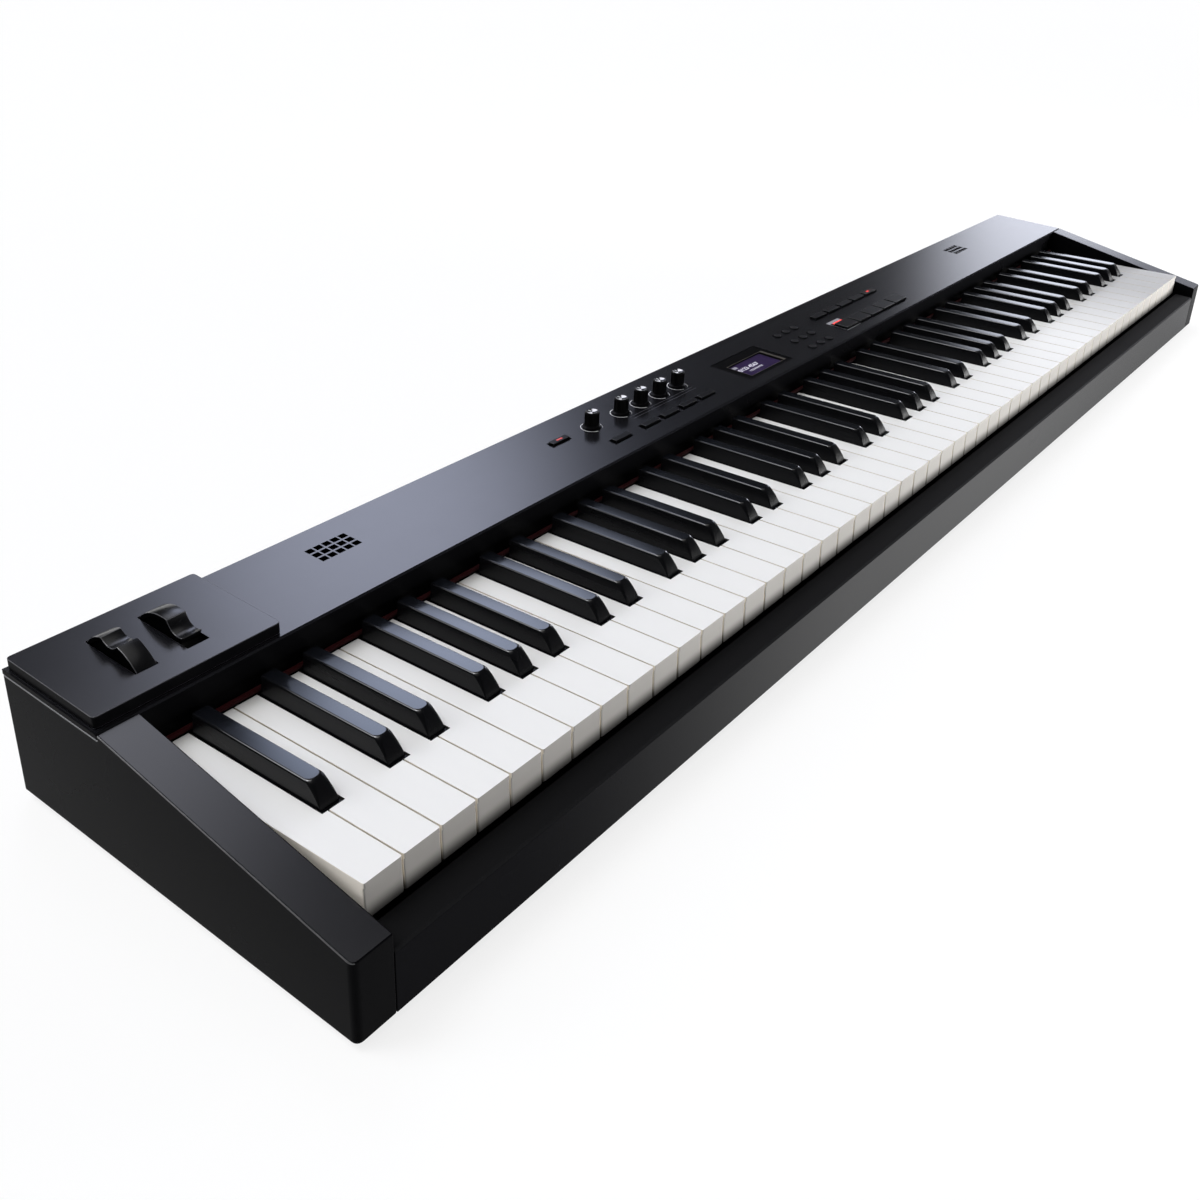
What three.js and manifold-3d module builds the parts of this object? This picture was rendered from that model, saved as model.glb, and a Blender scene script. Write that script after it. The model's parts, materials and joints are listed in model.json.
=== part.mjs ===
import * as THREE from 'three';
import { mergeVertices } from 'three/addons/utils/BufferGeometryUtils.js';
import Module from 'manifold-3d';

// An 88-key stage piano, in millimetres. X runs along the keys from bass to treble, Y from the
// player to the back, Z up. The origin is on the floor under the middle of the case.

const wasm = await Module();
wasm.setup();

// Driving dimensions
const keyPitch = 23.55;
const whiteKeyCount = 52;
const keyGap = 0.9;
const seam = 0.3;
const overrun = 1;
const cheekThickness = 22.7;
const cheekKeyGap = 3;
const caseHeight = 77.1;
const footHeight = 5;
const keyFrontInset = 21.9;
const keyShowLength = 154;
const keyTopHeight = 59.2;
const keyTiltDegrees = 2.7;
const railHeight = 37;
const wall = 3;
const panelDepth = 81.6;
const panelThickness = 3;
const boardThickness = 1.6;
const pressTravel = 0.7;

// Places worked out from them
const keyboardWidth = whiteKeyCount * keyPitch;
const caseWidth = keyboardWidth + 2 * (cheekThickness + cheekKeyGap);
const caseLeft = -caseWidth / 2;
const caseRight = caseWidth / 2;
const innerLeft = caseLeft + cheekThickness + seam;
const innerRight = -innerLeft;
const keyLeft = -keyboardWidth / 2;
const caseDepth = keyFrontInset + keyShowLength + panelDepth;
const caseFront = -caseDepth / 2;
const caseRear = caseDepth / 2;
const keyFront = caseFront + keyFrontInset;
const keyTop = footHeight + keyTopHeight;
const keyTilt = THREE.MathUtils.degToRad(keyTiltDegrees);
const panelTop = footHeight + caseHeight;
const panelUnder = panelTop - panelThickness;
const panelFront = caseRear - panelDepth;
const panelMiddle = (panelFront + caseRear) / 2;

const finishes = {
  case: { color: 0x2b2c31, roughness: 0.45, metalness: 0.05 },
  panel: { color: 0x33343b, roughness: 0.4, metalness: 0.1 },
  frame: { color: 0x3a3b3e, roughness: 0.7, metalness: 0 },
  ivory: { color: 0xe9e7e2, roughness: 0.4, metalness: 0 },
  ebony: { color: 0x17181b, roughness: 0.3, metalness: 0 },
  felt: { color: 0x5a0f14, roughness: 0.95, metalness: 0 },
  rubber: { color: 0x1b1b1c, roughness: 0.8, metalness: 0 },
  knob: { color: 0x111214, roughness: 0.5, metalness: 0 },
  lens: { color: 0x1a1820, roughness: 0.1, metalness: 0 },
  screen: { color: 0x5b4a8c, roughness: 0.3, metalness: 0 },
  board: { color: 0x1e4a2c, roughness: 0.6, metalness: 0 },
  steel: { color: 0x8b8d90, roughness: 0.4, metalness: 0.8 },
};

// Solids

function solid(geometry) {
  const bare = geometry.clone();
  bare.deleteAttribute('normal');
  bare.deleteAttribute('uv');
  const merged = mergeVertices(bare);
  return new wasm.Manifold(new wasm.Mesh({
    numProp: 3,
    vertProperties: new Float32Array(merged.attributes.position.array),
    triVerts: new Uint32Array(merged.index.array),
  }));
}

function geometryOf(body) {
  const mesh = body.getMesh();
  const geometry = new THREE.BufferGeometry();
  geometry.setAttribute('position', new THREE.BufferAttribute(mesh.vertProperties, 3));
  geometry.setIndex(new THREE.BufferAttribute(mesh.triVerts, 1));
  geometry.computeVertexNormals();
  return geometry;
}

function join(bodies) {
  return bodies.reduce((whole, body) => whole.add(body));
}

function cut(body, cutters) {
  return cutters.reduce((left, cutter) => left.subtract(cutter), body);
}

// A block between two limits on each axis
function block(x, y, z) {
  const geometry = new THREE.BoxGeometry(x[1] - x[0], y[1] - y[0], z[1] - z[0]);
  geometry.translate((x[0] + x[1]) / 2, (y[0] + y[1]) / 2, (z[0] + z[1]) / 2);
  return solid(geometry);
}

// A block of a given width and depth about a middle, between two heights
function slab(middle, size, z) {
  const x = [middle[0] - size[0] / 2, middle[0] + size[0] / 2];
  const y = [middle[1] - size[1] / 2, middle[1] + size[1] / 2];
  return block(x, y, z);
}

function shapeOf(points) {
  return new THREE.Shape(points.map(([a, b]) => new THREE.Vector2(a, b)));
}

// An outline in Y and Z, run along X
function runAlongX(points, x) {
  const geometry = new THREE.ExtrudeGeometry(shapeOf(points), {
    depth: x[1] - x[0],
    bevelEnabled: false,
  });
  const turn = new THREE.Matrix4().makeBasis(
    new THREE.Vector3(0, 1, 0),
    new THREE.Vector3(0, 0, 1),
    new THREE.Vector3(1, 0, 0),
  );
  geometry.applyMatrix4(turn);
  geometry.translate(x[0], 0, 0);
  return geometry;
}

// An outline in X and Y, raised along Z
function raise(shape, z, curveSegments) {
  const geometry = new THREE.ExtrudeGeometry(shape, {
    depth: z[1] - z[0],
    bevelEnabled: false,
    curveSegments,
  });
  geometry.translate(0, 0, z[0]);
  return solid(geometry);
}

function pinAlongX(radius, x, y, z, sides) {
  const geometry = new THREE.CylinderGeometry(radius, radius, x[1] - x[0], sides);
  geometry.rotateZ(Math.PI / 2);
  geometry.translate((x[0] + x[1]) / 2, y, z);
  return solid(geometry);
}

function pinAlongY(radius, x, y, z, sides) {
  const geometry = new THREE.CylinderGeometry(radius, radius, y[1] - y[0], sides);
  geometry.translate(x, (y[0] + y[1]) / 2, z);
  return solid(geometry);
}

function pinAlongZ(radius, x, y, z, sides) {
  const geometry = new THREE.CylinderGeometry(radius, radius, z[1] - z[0], sides);
  geometry.rotateX(Math.PI / 2);
  geometry.translate(x, y, (z[0] + z[1]) / 2);
  return solid(geometry);
}

// A profile of radius and height, turned about an upright axis
function turned(profile, middle, sides) {
  const points = profile.map(([radius, height]) => new THREE.Vector2(radius, height));
  const geometry = new THREE.LatheGeometry(points, sides);
  geometry.rotateX(Math.PI / 2);
  geometry.translate(middle[0], middle[1], 0);
  return solid(geometry);
}

const piano = new THREE.Group();

function place(name, body, finish, parent = piano) {
  const material = new THREE.MeshStandardMaterial({ ...finishes[finish], flatShading: true });
  const mesh = new THREE.Mesh(geometryOf(body), material);
  mesh.name = name;
  parent.add(mesh);
}

// Casework

const cheek = {
  frontHeight: 47.7,
  cornerRadius: 4,
  cornerSides: 6,
};

// The cheek's side outline, seen along X: low at the front, rising straight to the panel
function cheekSide() {
  const base = footHeight;
  const rest = panelUnder - seam;
  return [
    [caseFront, base],
    [caseRear, base],
    [caseRear, rest],
    [panelFront - seam, rest],
    [panelFront - seam, panelTop],
    [caseFront, base + cheek.frontHeight],
  ];
}

// The cheek's plan, with its outer front corner rounded
function cheekPlan(outer, inner) {
  const side = Math.sign(inner - outer);
  const bend = outer + side * cheek.cornerRadius;
  const shape = new THREE.Shape();
  shape.moveTo(inner, caseFront);
  shape.lineTo(inner, caseRear);
  shape.lineTo(outer, caseRear);
  shape.lineTo(outer, caseFront + cheek.cornerRadius);
  shape.quadraticCurveTo(outer, caseFront, bend, caseFront);
  shape.closePath();
  return shape;
}

function cheekBody(outer, inner) {
  const x = [Math.min(outer, inner), Math.max(outer, inner)];
  const side = solid(runAlongX(cheekSide(), x));
  const plan = raise(cheekPlan(outer, inner), [0, panelTop + overrun], cheek.cornerSides);
  return side.intersect(plan);
}

place('left_cheek', cheekBody(caseLeft, caseLeft + cheekThickness), 'case');
place('right_cheek', cheekBody(caseRight, caseRight - cheekThickness), 'case');

const rail = {
  shelfDepth: 18.9,
  lip: 1.2,
};

// The front rail is an angle: a front wall with a shelf that runs back to the keys
function railProfile() {
  const top = footHeight + railHeight;
  const shelfRear = caseFront + rail.shelfDepth;
  return [
    [caseFront, footHeight],
    [caseFront + wall, footHeight],
    [caseFront + wall, top - wall],
    [shelfRear, top - wall],
    [shelfRear, top],
    [caseFront + rail.lip, top],
    [caseFront, top - rail.lip],
  ];
}

place('front_rail', solid(runAlongX(railProfile(), [innerLeft, innerRight])), 'case');

const tray = {
  flangeHeight: 16,
  flange: 2,
  trayFront: caseFront + wall + seam,
  trayRear: caseRear - wall - seam,
};

function trayBody() {
  const y = [tray.trayFront, tray.trayRear];
  const floor = block([innerLeft, innerRight], y, [footHeight, footHeight + wall]);
  const flangeZ = [footHeight, footHeight + tray.flangeHeight];
  const left = block([innerLeft, innerLeft + tray.flange], y, flangeZ);
  const right = block([innerRight - tray.flange, innerRight], y, flangeZ);
  return join([floor, left, right]);
}

place('bottom_case', trayBody(), 'frame');

const foot = {
  radius: 14,
  topRadius: 16,
  sides: 20,
  sideInset: 90,
  edgeInset: 38,
};

for (const [endName, side] of [['left', -1], ['right', 1]]) {
  for (const [rowName, row] of [['front', -1], ['rear', 1]]) {
    const x = side * (caseRight - foot.sideInset);
    const y = row * (caseRear - foot.edgeInset);
    const top = footHeight - seam;
    const profile = [[0, 0], [foot.radius, 0], [foot.topRadius, top], [0, top]];
    place(`foot_${rowName}_${endName}`, turned(profile, [x, y], foot.sides), 'rubber');
  }
}

// Sizes of the keys and their lever action, in the keys' own frame. There X starts at the left
// edge of the first key, Y at the key fronts and Z at the white tops, and the whole frame is
// tilted about the front edge of the white tops.
const action = {
  notchY: 50,
  notchHalf: 6.8,
  headGap: 2,
  whiteDepth: 20.7,
  tailTop: -14.5,
  footDepth: 27,
  barTop: -21.5,
  rearRoom: 31.6,
  footLength: 4,
  footGap: 2,
  frontGap: 1.1,
};
action.headRear = keyShowLength - action.headGap;
action.whiteTailEnd = keyShowLength + panelDepth - action.rearRoom;
action.whiteFootFront = action.whiteTailEnd - action.footLength;
action.blackFootFront = action.whiteTailEnd + action.footGap;
action.blackTailEnd = action.blackFootFront + action.footLength;
action.axisY = (action.whiteTailEnd + action.blackFootFront) / 2;

function tiltedHeight(y, z) {
  return keyTop - y * Math.sin(keyTilt) + z * Math.cos(keyTilt);
}

function tiltedDepth(y, z) {
  return keyFront + y * Math.cos(keyTilt) + z * Math.sin(keyTilt);
}

// The felt strip behind the white tops, and the panel's lip that it is fixed to
const felt = {
  thickness: 2.2,
  height: 5,
  clearance: 0.9,
};
felt.low = tiltedHeight(action.headRear, 0) + felt.clearance;

const lip = {
  thickness: 2.5,
  edgeRadius: 1.2,
};

// Panel controls in plan. An inset is the distance of a control's middle behind the panel's
// front edge.

const lens = {
  middleX: -10.5,
  inset: 33.5,
  width: 66,
  depth: 41,
  thickness: 1.4,
  ledge: 3,
};
lens.middleY = panelFront + lens.inset;
lens.pocket = lens.thickness + seam + seam;
lens.floor = panelTop - lens.pocket;

// The screen sits nearer to the player than the middle of its window
const moduleCase = {
  width: 56,
  depth: 31,
  glassWidth: 50,
  glassDepth: 26,
  forward: 3.5,
};

const knob = {
  firstX: -207.8,
  rowX: -172.4,
  pitch: 24.7,
  rowCount: 4,
  inset: 49.5,
  height: 13,
  skirtRadius: 7,
  skirtHeight: 1.6,
  bodyRadius: 5.5,
  topRadius: 5.1,
  edge: 0.5,
  stemRadius: 3,
  holeRadius: 3.6,
  sides: 24,
};
knob.y = panelFront + knob.inset;
knob.places = [knob.firstX];
for (let i = 0; i < knob.rowCount; i += 1) {
  knob.places.push(knob.rowX + i * knob.pitch);
}

const buttonFit = {
  clearance: 0.4,
  rise: 1,
  webThickness: 1.2,
  webMargin: 1.4,
};

// Each button set: the place of its first cap, the size of a cap, and the pitch of the row
const slimSet = { inset: 21.5, width: 18, depth: 5 };
const powerSet = { x: -243.1, inset: 51, width: 17.8, depth: 5 };
const roundSet = {
  x: 59.7,
  inset: 14.5,
  pitchX: 14.7,
  pitchY: 18.5,
  count: 3,
  radius: 3.4,
  sides: 20,
};
const rowSet = { x: 134.3, inset: 51.5, pitch: 25, count: 5, width: 21, depth: 6.4 };
const padSet = { x: 134.3, inset: 21.2, pitch: 25, count: 5, width: 22, depth: 13.4 };

function inRow(set) {
  const y = panelFront + set.inset;
  return Array.from({ length: set.count }, (_, i) => [set.x + i * set.pitch, y]);
}

const buttonSets = {
  power_button: {
    caps: [[powerSet.x, panelFront + powerSet.inset]],
    size: [powerSet.width, powerSet.depth],
  },
  slim_buttons: {
    caps: knob.places.map((x) => [x, panelFront + slimSet.inset]),
    size: [slimSet.width, slimSet.depth],
  },
  round_buttons: {
    caps: Array.from({ length: roundSet.count ** 2 }, (_, i) => [
      roundSet.x + (i % roundSet.count) * roundSet.pitchX,
      panelFront + roundSet.inset + Math.floor(i / roundSet.count) * roundSet.pitchY,
    ]),
    radius: roundSet.radius,
  },
  row_buttons: { caps: inRow(rowSet), size: [rowSet.width, rowSet.depth] },
  pad_buttons: { caps: inRow(padSet), size: [padSet.width, padSet.depth] },
};

// One cap of a set, grown by a clearance on every side
function capBody(set, middle, grow, z) {
  if (set.radius) {
    return pinAlongZ(set.radius + grow, middle[0], middle[1], z, roundSet.sides);
  }
  return slab(middle, set.size.map((length) => length + 2 * grow), z);
}

// The thin web under the panel that carries a set's caps
function webBody(set) {
  const half = set.radius ? [set.radius, set.radius] : set.size.map((length) => length / 2);
  const range = [0, 1].map((axis) => {
    const places = set.caps.map((middle) => middle[axis]);
    const margin = half[axis] + buttonFit.webMargin;
    return [Math.min(...places) - margin, Math.max(...places) + margin];
  });
  const top = panelUnder - seam;
  return block(range[0], range[1], [top - buttonFit.webThickness, top]);
}

for (const [name, set] of Object.entries(buttonSets)) {
  const z = [panelUnder - seam - buttonFit.webThickness, panelTop + buttonFit.rise];
  const caps = set.caps.map((middle) => capBody(set, middle, 0, z));
  place(name, join([webBody(set), ...caps]), 'knob');
}

// Wheels and their cover

const cover = {
  width: 108.8,
  height: 7.1,
  sideInset: 1.6,
  frontInset: 3.4,
  rearInset: 2.2,
  top: 2.5,
  side: 2.5,
  cornerRadius: 2.5,
  cornerSides: 3,
};
cover.left = caseLeft + cover.sideInset;
cover.right = cover.left + cover.width;
cover.rear = caseRear - cover.rearInset;
cover.front = panelFront + cover.frontInset;

const wheel = {
  radius: 28,
  crown: 9.6,
  width: 11.6,
  slotGap: 0.6,
  firstShare: 0.361,
  spacing: 29.7,
  frontInset: 37.5,
  boreRadius: 2.6,
  axleRadius: 2.2,
  sides: 48,
  saddleDepth: 4,
  saddleSpread: 11,
  humpRise: 1.4,
  humpAngle: 10,
  humpSpread: 9,
  dipDepth: 4.6,
  dipAngle: -26,
  dipSpread: 17,
};
wheel.middleY = cover.front + wheel.frontInset;
wheel.places = [0, 1].map((i) => cover.left + cover.width * wheel.firstShare + i * wheel.spacing);
wheel.hubZ = panelTop + cover.height + wheel.crown - wheel.radius;

// How far the wheel's rim stands in or out at an angle from the top, towards the back
function bell(angle, middle, spread) {
  return Math.exp(-(((angle - middle) / spread) ** 2));
}

function pitchRim(angle) {
  return -wheel.saddleDepth * bell(angle, 0, wheel.saddleSpread);
}

function modulationRim(angle) {
  return wheel.humpRise * bell(angle, wheel.humpAngle, wheel.humpSpread)
    - wheel.dipDepth * bell(angle, wheel.dipAngle, wheel.dipSpread);
}

// A disc whose rim has a point every few degrees, which follows its saddle or its hump
function wheelBody(x, rim) {
  const points = [];
  const span = 180;
  const step = 2 * span / wheel.sides;
  for (let angle = -span; angle < span; angle += step) {
    const radius = wheel.radius + rim(angle);
    const turn = THREE.MathUtils.degToRad(angle);
    points.push([wheel.middleY + radius * Math.sin(turn), wheel.hubZ + radius * Math.cos(turn)]);
  }
  const sides = [x - wheel.width / 2, x + wheel.width / 2];
  const disc = solid(runAlongX(points.reverse(), sides));
  const boreX = [sides[0] - overrun, sides[1] + overrun];
  return disc.subtract(pinAlongX(wheel.boreRadius, boreX, wheel.middleY, wheel.hubZ, roundSet.sides));
}

place('pitch_wheel', wheelBody(wheel.places[0], pitchRim), 'knob');
place('modulation_wheel', wheelBody(wheel.places[1], modulationRim), 'knob');

function roundedPlan(x, y, radius) {
  const shape = new THREE.Shape();
  shape.moveTo(x[0] + radius, y[0]);
  shape.lineTo(x[1] - radius, y[0]);
  shape.quadraticCurveTo(x[1], y[0], x[1], y[0] + radius);
  shape.lineTo(x[1], y[1] - radius);
  shape.quadraticCurveTo(x[1], y[1], x[1] - radius, y[1]);
  shape.lineTo(x[0] + radius, y[1]);
  shape.quadraticCurveTo(x[0], y[1], x[0], y[1] - radius);
  shape.lineTo(x[0], y[0] + radius);
  shape.quadraticCurveTo(x[0], y[0], x[0] + radius, y[0]);
  return shape;
}

// The slot that a wheel turns in, a little larger than the wheel itself
function wheelSlot(x) {
  const half = wheel.width / 2 + wheel.slotGap;
  const radius = wheel.radius + wheel.slotGap;
  return pinAlongX(radius, [x - half, x + half], wheel.middleY, wheel.hubZ, wheel.sides);
}

function coverBody() {
  const top = panelTop + cover.height;
  const base = panelTop + seam;
  const plan = roundedPlan([cover.left, cover.right], [cover.front, cover.rear], cover.cornerRadius);
  const skin = raise(plan, [base, top], cover.cornerSides);
  const hollow = block(
    [cover.left + cover.side, cover.right - cover.side],
    [cover.front + cover.side, cover.rear - cover.side],
    [base - overrun, top - cover.top],
  );
  return cut(skin, [hollow, ...wheel.places.map(wheelSlot)]);
}

place('wheel_cover', coverBody(), 'panel');

const bracket = {
  plate: 2,
  side: 1.2,
  reachShare: 0.32,
  hubDrop: 6,
  wheelGap: 0.8,
  flange: 2,
  overhang: 4,
};
bracket.openingDepth = 2 * (wheel.radius + wheel.humpRise + bracket.side);
bracket.left = wheel.places[0] - wheel.width / 2 - bracket.wheelGap - bracket.plate;
bracket.right = wheel.places[1] + wheel.width / 2 + bracket.wheelGap + bracket.plate;

// Three upright plates and the axle through them, hung from a rim under the panel
function bracketBody() {
  const top = panelUnder - seam;
  const low = wheel.hubZ - bracket.hubDrop;
  const half = bracket.openingDepth / 2;
  const reach = half * bracket.reachShare;
  const y = [wheel.middleY - reach, wheel.middleY + reach];
  const middle = (wheel.places[0] + wheel.places[1]) / 2;
  const plates = [
    [bracket.left, bracket.left + bracket.plate],
    [middle - bracket.plate / 2, middle + bracket.plate / 2],
    [bracket.right - bracket.plate, bracket.right],
  ].map((x) => block(x, y, [low, top]));
  const rimX = [bracket.left - bracket.overhang, bracket.right + bracket.overhang];
  const rimY = [
    wheel.middleY - half - bracket.overhang,
    wheel.middleY + half + bracket.overhang,
  ];
  const rim = block(rimX, rimY, [top - bracket.flange, top]);
  const holes = wheel.places.map((x) => slab(
    [x, wheel.middleY],
    [wheel.width + 2 * bracket.wheelGap, bracket.openingDepth],
    [top - bracket.flange - overrun, top + overrun],
  ));
  const axle = pinAlongX(
    wheel.axleRadius,
    [bracket.left, bracket.right],
    wheel.middleY,
    wheel.hubZ,
    roundSet.sides,
  );
  return join([cut(rim, holes), ...plates, axle]);
}

place('wheel_bracket', bracketBody(), 'steel');

// Top panel

const grille = {
  columns: 5,
  rows: 3,
  pitch: 6.25,
  hole: 4,
  endInset: 163,
  inset: 53.5,
};
grille.y = panelFront + grille.inset;
grille.places = [keyLeft + grille.endInset, -keyLeft - grille.endInset];

const post = {
  radius: 3,
  sides: 12,
  insetX: 12,
  insetY: 4.5,
};

// The board under the panel that holds the pots, the switches and the display
const controlBoard = {
  endMargin: 32,
  frontInset: 6,
  rearInset: 14,
  switchWidth: 5,
  switchHeight: 3.4,
  potWidth: 10,
  potGap: 0.5,
};
controlBoard.left = powerSet.x - controlBoard.endMargin;
controlBoard.right = rowSet.x + (rowSet.count - 1) * rowSet.pitch + controlBoard.endMargin;
controlBoard.front = panelFront + controlBoard.frontInset;
controlBoard.rear = caseRear - controlBoard.rearInset;
controlBoard.switchTop = panelUnder - seam - buttonFit.webThickness - pressTravel - seam;
controlBoard.top = controlBoard.switchTop - controlBoard.switchHeight;
controlBoard.under = controlBoard.top - boardThickness;
controlBoard.potTop = panelUnder - controlBoard.potGap;

post.places = [controlBoard.left + post.insetX, controlBoard.right - post.insetX].flatMap((x) => [
  [x, controlBoard.front + post.insetY],
  [x, controlBoard.rear - post.insetY],
]);

function panelBody() {
  const overhang = lip.edgeRadius;
  const profile = [
    [caseRear, panelUnder],
    [caseRear, panelTop],
    [panelFront + overhang, panelTop],
    [panelFront, panelTop - overhang],
    [panelFront, panelUnder],
  ];
  const plate = solid(runAlongX(profile, [caseLeft, caseRight]));
  const fall = block(
    [innerLeft, innerRight],
    [panelFront, panelFront + lip.thickness],
    [felt.low, panelTop - overhang],
  );
  const posts = post.places.map(([x, y]) => pinAlongZ(
    post.radius,
    x,
    y,
    [controlBoard.top + seam, panelUnder + panelThickness / 2],
    post.sides,
  ));
  const through = [panelUnder - overrun, panelTop + overrun];
  const knobHoles = knob.places.map((x) => pinAlongZ(knob.holeRadius, x, knob.y, through, roundSet.sides));
  const buttonHoles = Object.values(buttonSets).flatMap((set) => set.caps.map(
    (middle) => capBody(set, middle, buttonFit.clearance, through),
  ));
  const lensMiddle = [lens.middleX, lens.middleY];
  const lensPocket = slab(
    lensMiddle,
    [lens.width + 2 * seam, lens.depth + 2 * seam],
    [lens.floor, panelTop + overrun],
  );
  const lensOpening = slab(
    lensMiddle,
    [lens.width - 2 * lens.ledge, lens.depth - 2 * lens.ledge],
    through,
  );
  const grilleHoles = grille.places.flatMap((middle) => Array.from(
    { length: grille.columns * grille.rows },
    (_, i) => {
      const column = (i % grille.columns) - (grille.columns - 1) / 2;
      const row = Math.floor(i / grille.columns) - (grille.rows - 1) / 2;
      return slab(
        [middle + column * grille.pitch, grille.y + row * grille.pitch],
        [grille.hole, grille.hole],
        through,
      );
    },
  ));
  const wheelHoles = wheel.places.map((x) => slab(
    [x, wheel.middleY],
    [wheel.width + 2 * bracket.wheelGap, bracket.openingDepth],
    through,
  ));
  return cut(join([plate, fall, ...posts]), [
    ...knobHoles,
    ...buttonHoles,
    lensPocket,
    lensOpening,
    ...grilleHoles,
    ...wheelHoles,
  ]);
}

place('top_panel', panelBody(), 'panel');

place('display_window', slab(
  [lens.middleX, lens.middleY],
  [lens.width, lens.depth],
  [lens.floor + seam, lens.floor + seam + lens.thickness],
), 'lens');

function displayBody() {
  const middle = [lens.middleX, lens.middleY - moduleCase.forward];
  const top = panelUnder - seam;
  const shell = slab(middle, [moduleCase.width, moduleCase.depth], [controlBoard.top + seam, top]);
  const glass = slab(middle, [moduleCase.glassWidth, moduleCase.glassDepth], [top - overrun, lens.floor]);
  return shell.add(glass);
}

place('display_module', displayBody(), 'screen');

function controlBoardBody() {
  const plate = block(
    [controlBoard.left, controlBoard.right],
    [controlBoard.front, controlBoard.rear],
    [controlBoard.under, controlBoard.top],
  );
  const rooted = controlBoard.top - boardThickness / 2;
  const switches = Object.values(buttonSets).flatMap((set) => set.caps.map((middle) => slab(
    middle,
    [controlBoard.switchWidth, controlBoard.switchWidth],
    [rooted, controlBoard.switchTop],
  )));
  const pots = knob.places.map((x) => slab(
    [x, knob.y],
    [controlBoard.potWidth, controlBoard.potWidth],
    [rooted, controlBoard.potTop],
  ));
  return join([plate, ...switches, ...pots]);
}

place('panel_board', controlBoardBody(), 'board');

const logic = {
  width: 200,
  depth: 52,
  middleX: 20,
  spacer: 12,
  spacerInset: 8,
  spacerRadius: 3,
  chip: 18,
  chipHeight: 2,
  chipPitch: 44,
  chipCount: 4,
};

function logicBody() {
  const topOfSpacers = controlBoard.under - seam;
  const top = topOfSpacers - logic.spacer;
  const middle = [logic.middleX, panelMiddle];
  const plate = slab(middle, [logic.width, logic.depth], [top - boardThickness, top]);
  const rooted = top - boardThickness / 2;
  const reach = [logic.width / 2 - logic.spacerInset, logic.depth / 2 - logic.spacerInset];
  const spacers = [-1, 1].flatMap((sideX) => [-1, 1].map((sideY) => pinAlongZ(
    logic.spacerRadius,
    middle[0] + sideX * reach[0],
    middle[1] + sideY * reach[1],
    [rooted, topOfSpacers],
    post.sides,
  )));
  const chips = Array.from({ length: logic.chipCount }, (_, i) => slab(
    [middle[0] + (i - (logic.chipCount - 1) / 2) * logic.chipPitch, middle[1]],
    [logic.chip, logic.chip],
    [rooted, top + logic.chipHeight],
  ));
  return join([plate, ...spacers, ...chips]);
}

place('main_board', logicBody(), 'board');

// Speakers: an oval basket with a sunk cone and a magnet behind
const speaker = {
  radius: 33,
  stretchShare: 1.65,
  flange: 2.5,
  coneDepth: 9,
  capRadius: 9,
  capRise: 2.5,
  basketRadius: 17,
  basketDepth: 12,
  magnetRadius: 15,
  magnetDepth: 19,
  rim: 5,
  sides: 28,
};

for (const [name, x] of [['speaker_left', grille.places[0]], ['speaker_right', grille.places[1]]]) {
  const top = panelUnder - seam;
  const points = [
    [0, top - speaker.magnetDepth],
    [speaker.magnetRadius, top - speaker.magnetDepth],
    [speaker.magnetRadius, top - speaker.basketDepth],
    [speaker.basketRadius, top - speaker.basketDepth],
    [speaker.radius - speaker.rim, top - speaker.flange],
    [speaker.radius, top - speaker.flange],
    [speaker.radius, top],
    [speaker.radius - speaker.rim, top],
    [speaker.capRadius, top - speaker.coneDepth],
    [0, top - speaker.coneDepth + speaker.capRise],
  ].map(([radius, height]) => new THREE.Vector2(radius, height));
  const geometry = new THREE.LatheGeometry(points, speaker.sides);
  geometry.rotateX(Math.PI / 2);
  geometry.scale(speaker.stretchShare, 1, 1);
  geometry.translate(x, panelMiddle, 0);
  place(name, solid(geometry), 'steel');
}

// Knobs: a skirt, a body and the stem that goes down to its pot
knob.places.forEach((x, i) => {
  const base = panelTop + seam;
  const top = panelTop + knob.height;
  const profile = [
    [0, controlBoard.potTop + seam],
    [knob.stemRadius, controlBoard.potTop + seam],
    [knob.stemRadius, base],
    [knob.skirtRadius, base],
    [knob.skirtRadius, base + knob.skirtHeight],
    [knob.bodyRadius, base + 2 * knob.skirtHeight],
    [knob.topRadius, top - knob.edge],
    [knob.topRadius - knob.edge, top],
    [0, top],
  ];
  const name = i === 0 ? 'volume_knob' : `control_knob_${i}`;
  place(name, turned(profile, [x, knob.y], knob.sides), 'knob');
});

// Rear panel and its sockets
const socket = {
  firstX: -290,
  pitch: 24,
  height: 29,
  bodySize: 15,
  bodyDepth: 13.5,
  boreDepth: 12,
  jackRadius: 3.3,
  inletRadius: 3.2,
  sides: 16,
  squareWidth: 8.6,
  squareHeight: 7.8,
  flatWidth: 12.6,
  flatHeight: 5.2,
  panelGap: 0.8,
  boardMargin: 6,
  boardHeight: 30,
};

socket.z = footHeight + socket.height;

// The row of sockets from the left: power inlet, two data ports, then five round jacks
socket.kinds = ['inlet', 'square', 'flat', 'jack', 'jack', 'jack', 'jack', 'jack'];
socket.places = socket.kinds.map((kind, i) => ({ kind, x: socket.firstX + i * socket.pitch }));

function socketHole(kind, x, y, grow) {
  if (kind === 'square' || kind === 'flat') {
    const width = kind === 'square' ? socket.squareWidth : socket.flatWidth;
    const height = kind === 'square' ? socket.squareHeight : socket.flatHeight;
    return block(
      [x - width / 2 - grow, x + width / 2 + grow],
      y,
      [socket.z - height / 2 - grow, socket.z + height / 2 + grow],
    );
  }
  const radius = (kind === 'jack' ? socket.jackRadius : socket.inletRadius) + grow;
  return pinAlongY(radius, x, y, socket.z, socket.sides);
}

const rearInner = caseRear - wall;

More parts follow.
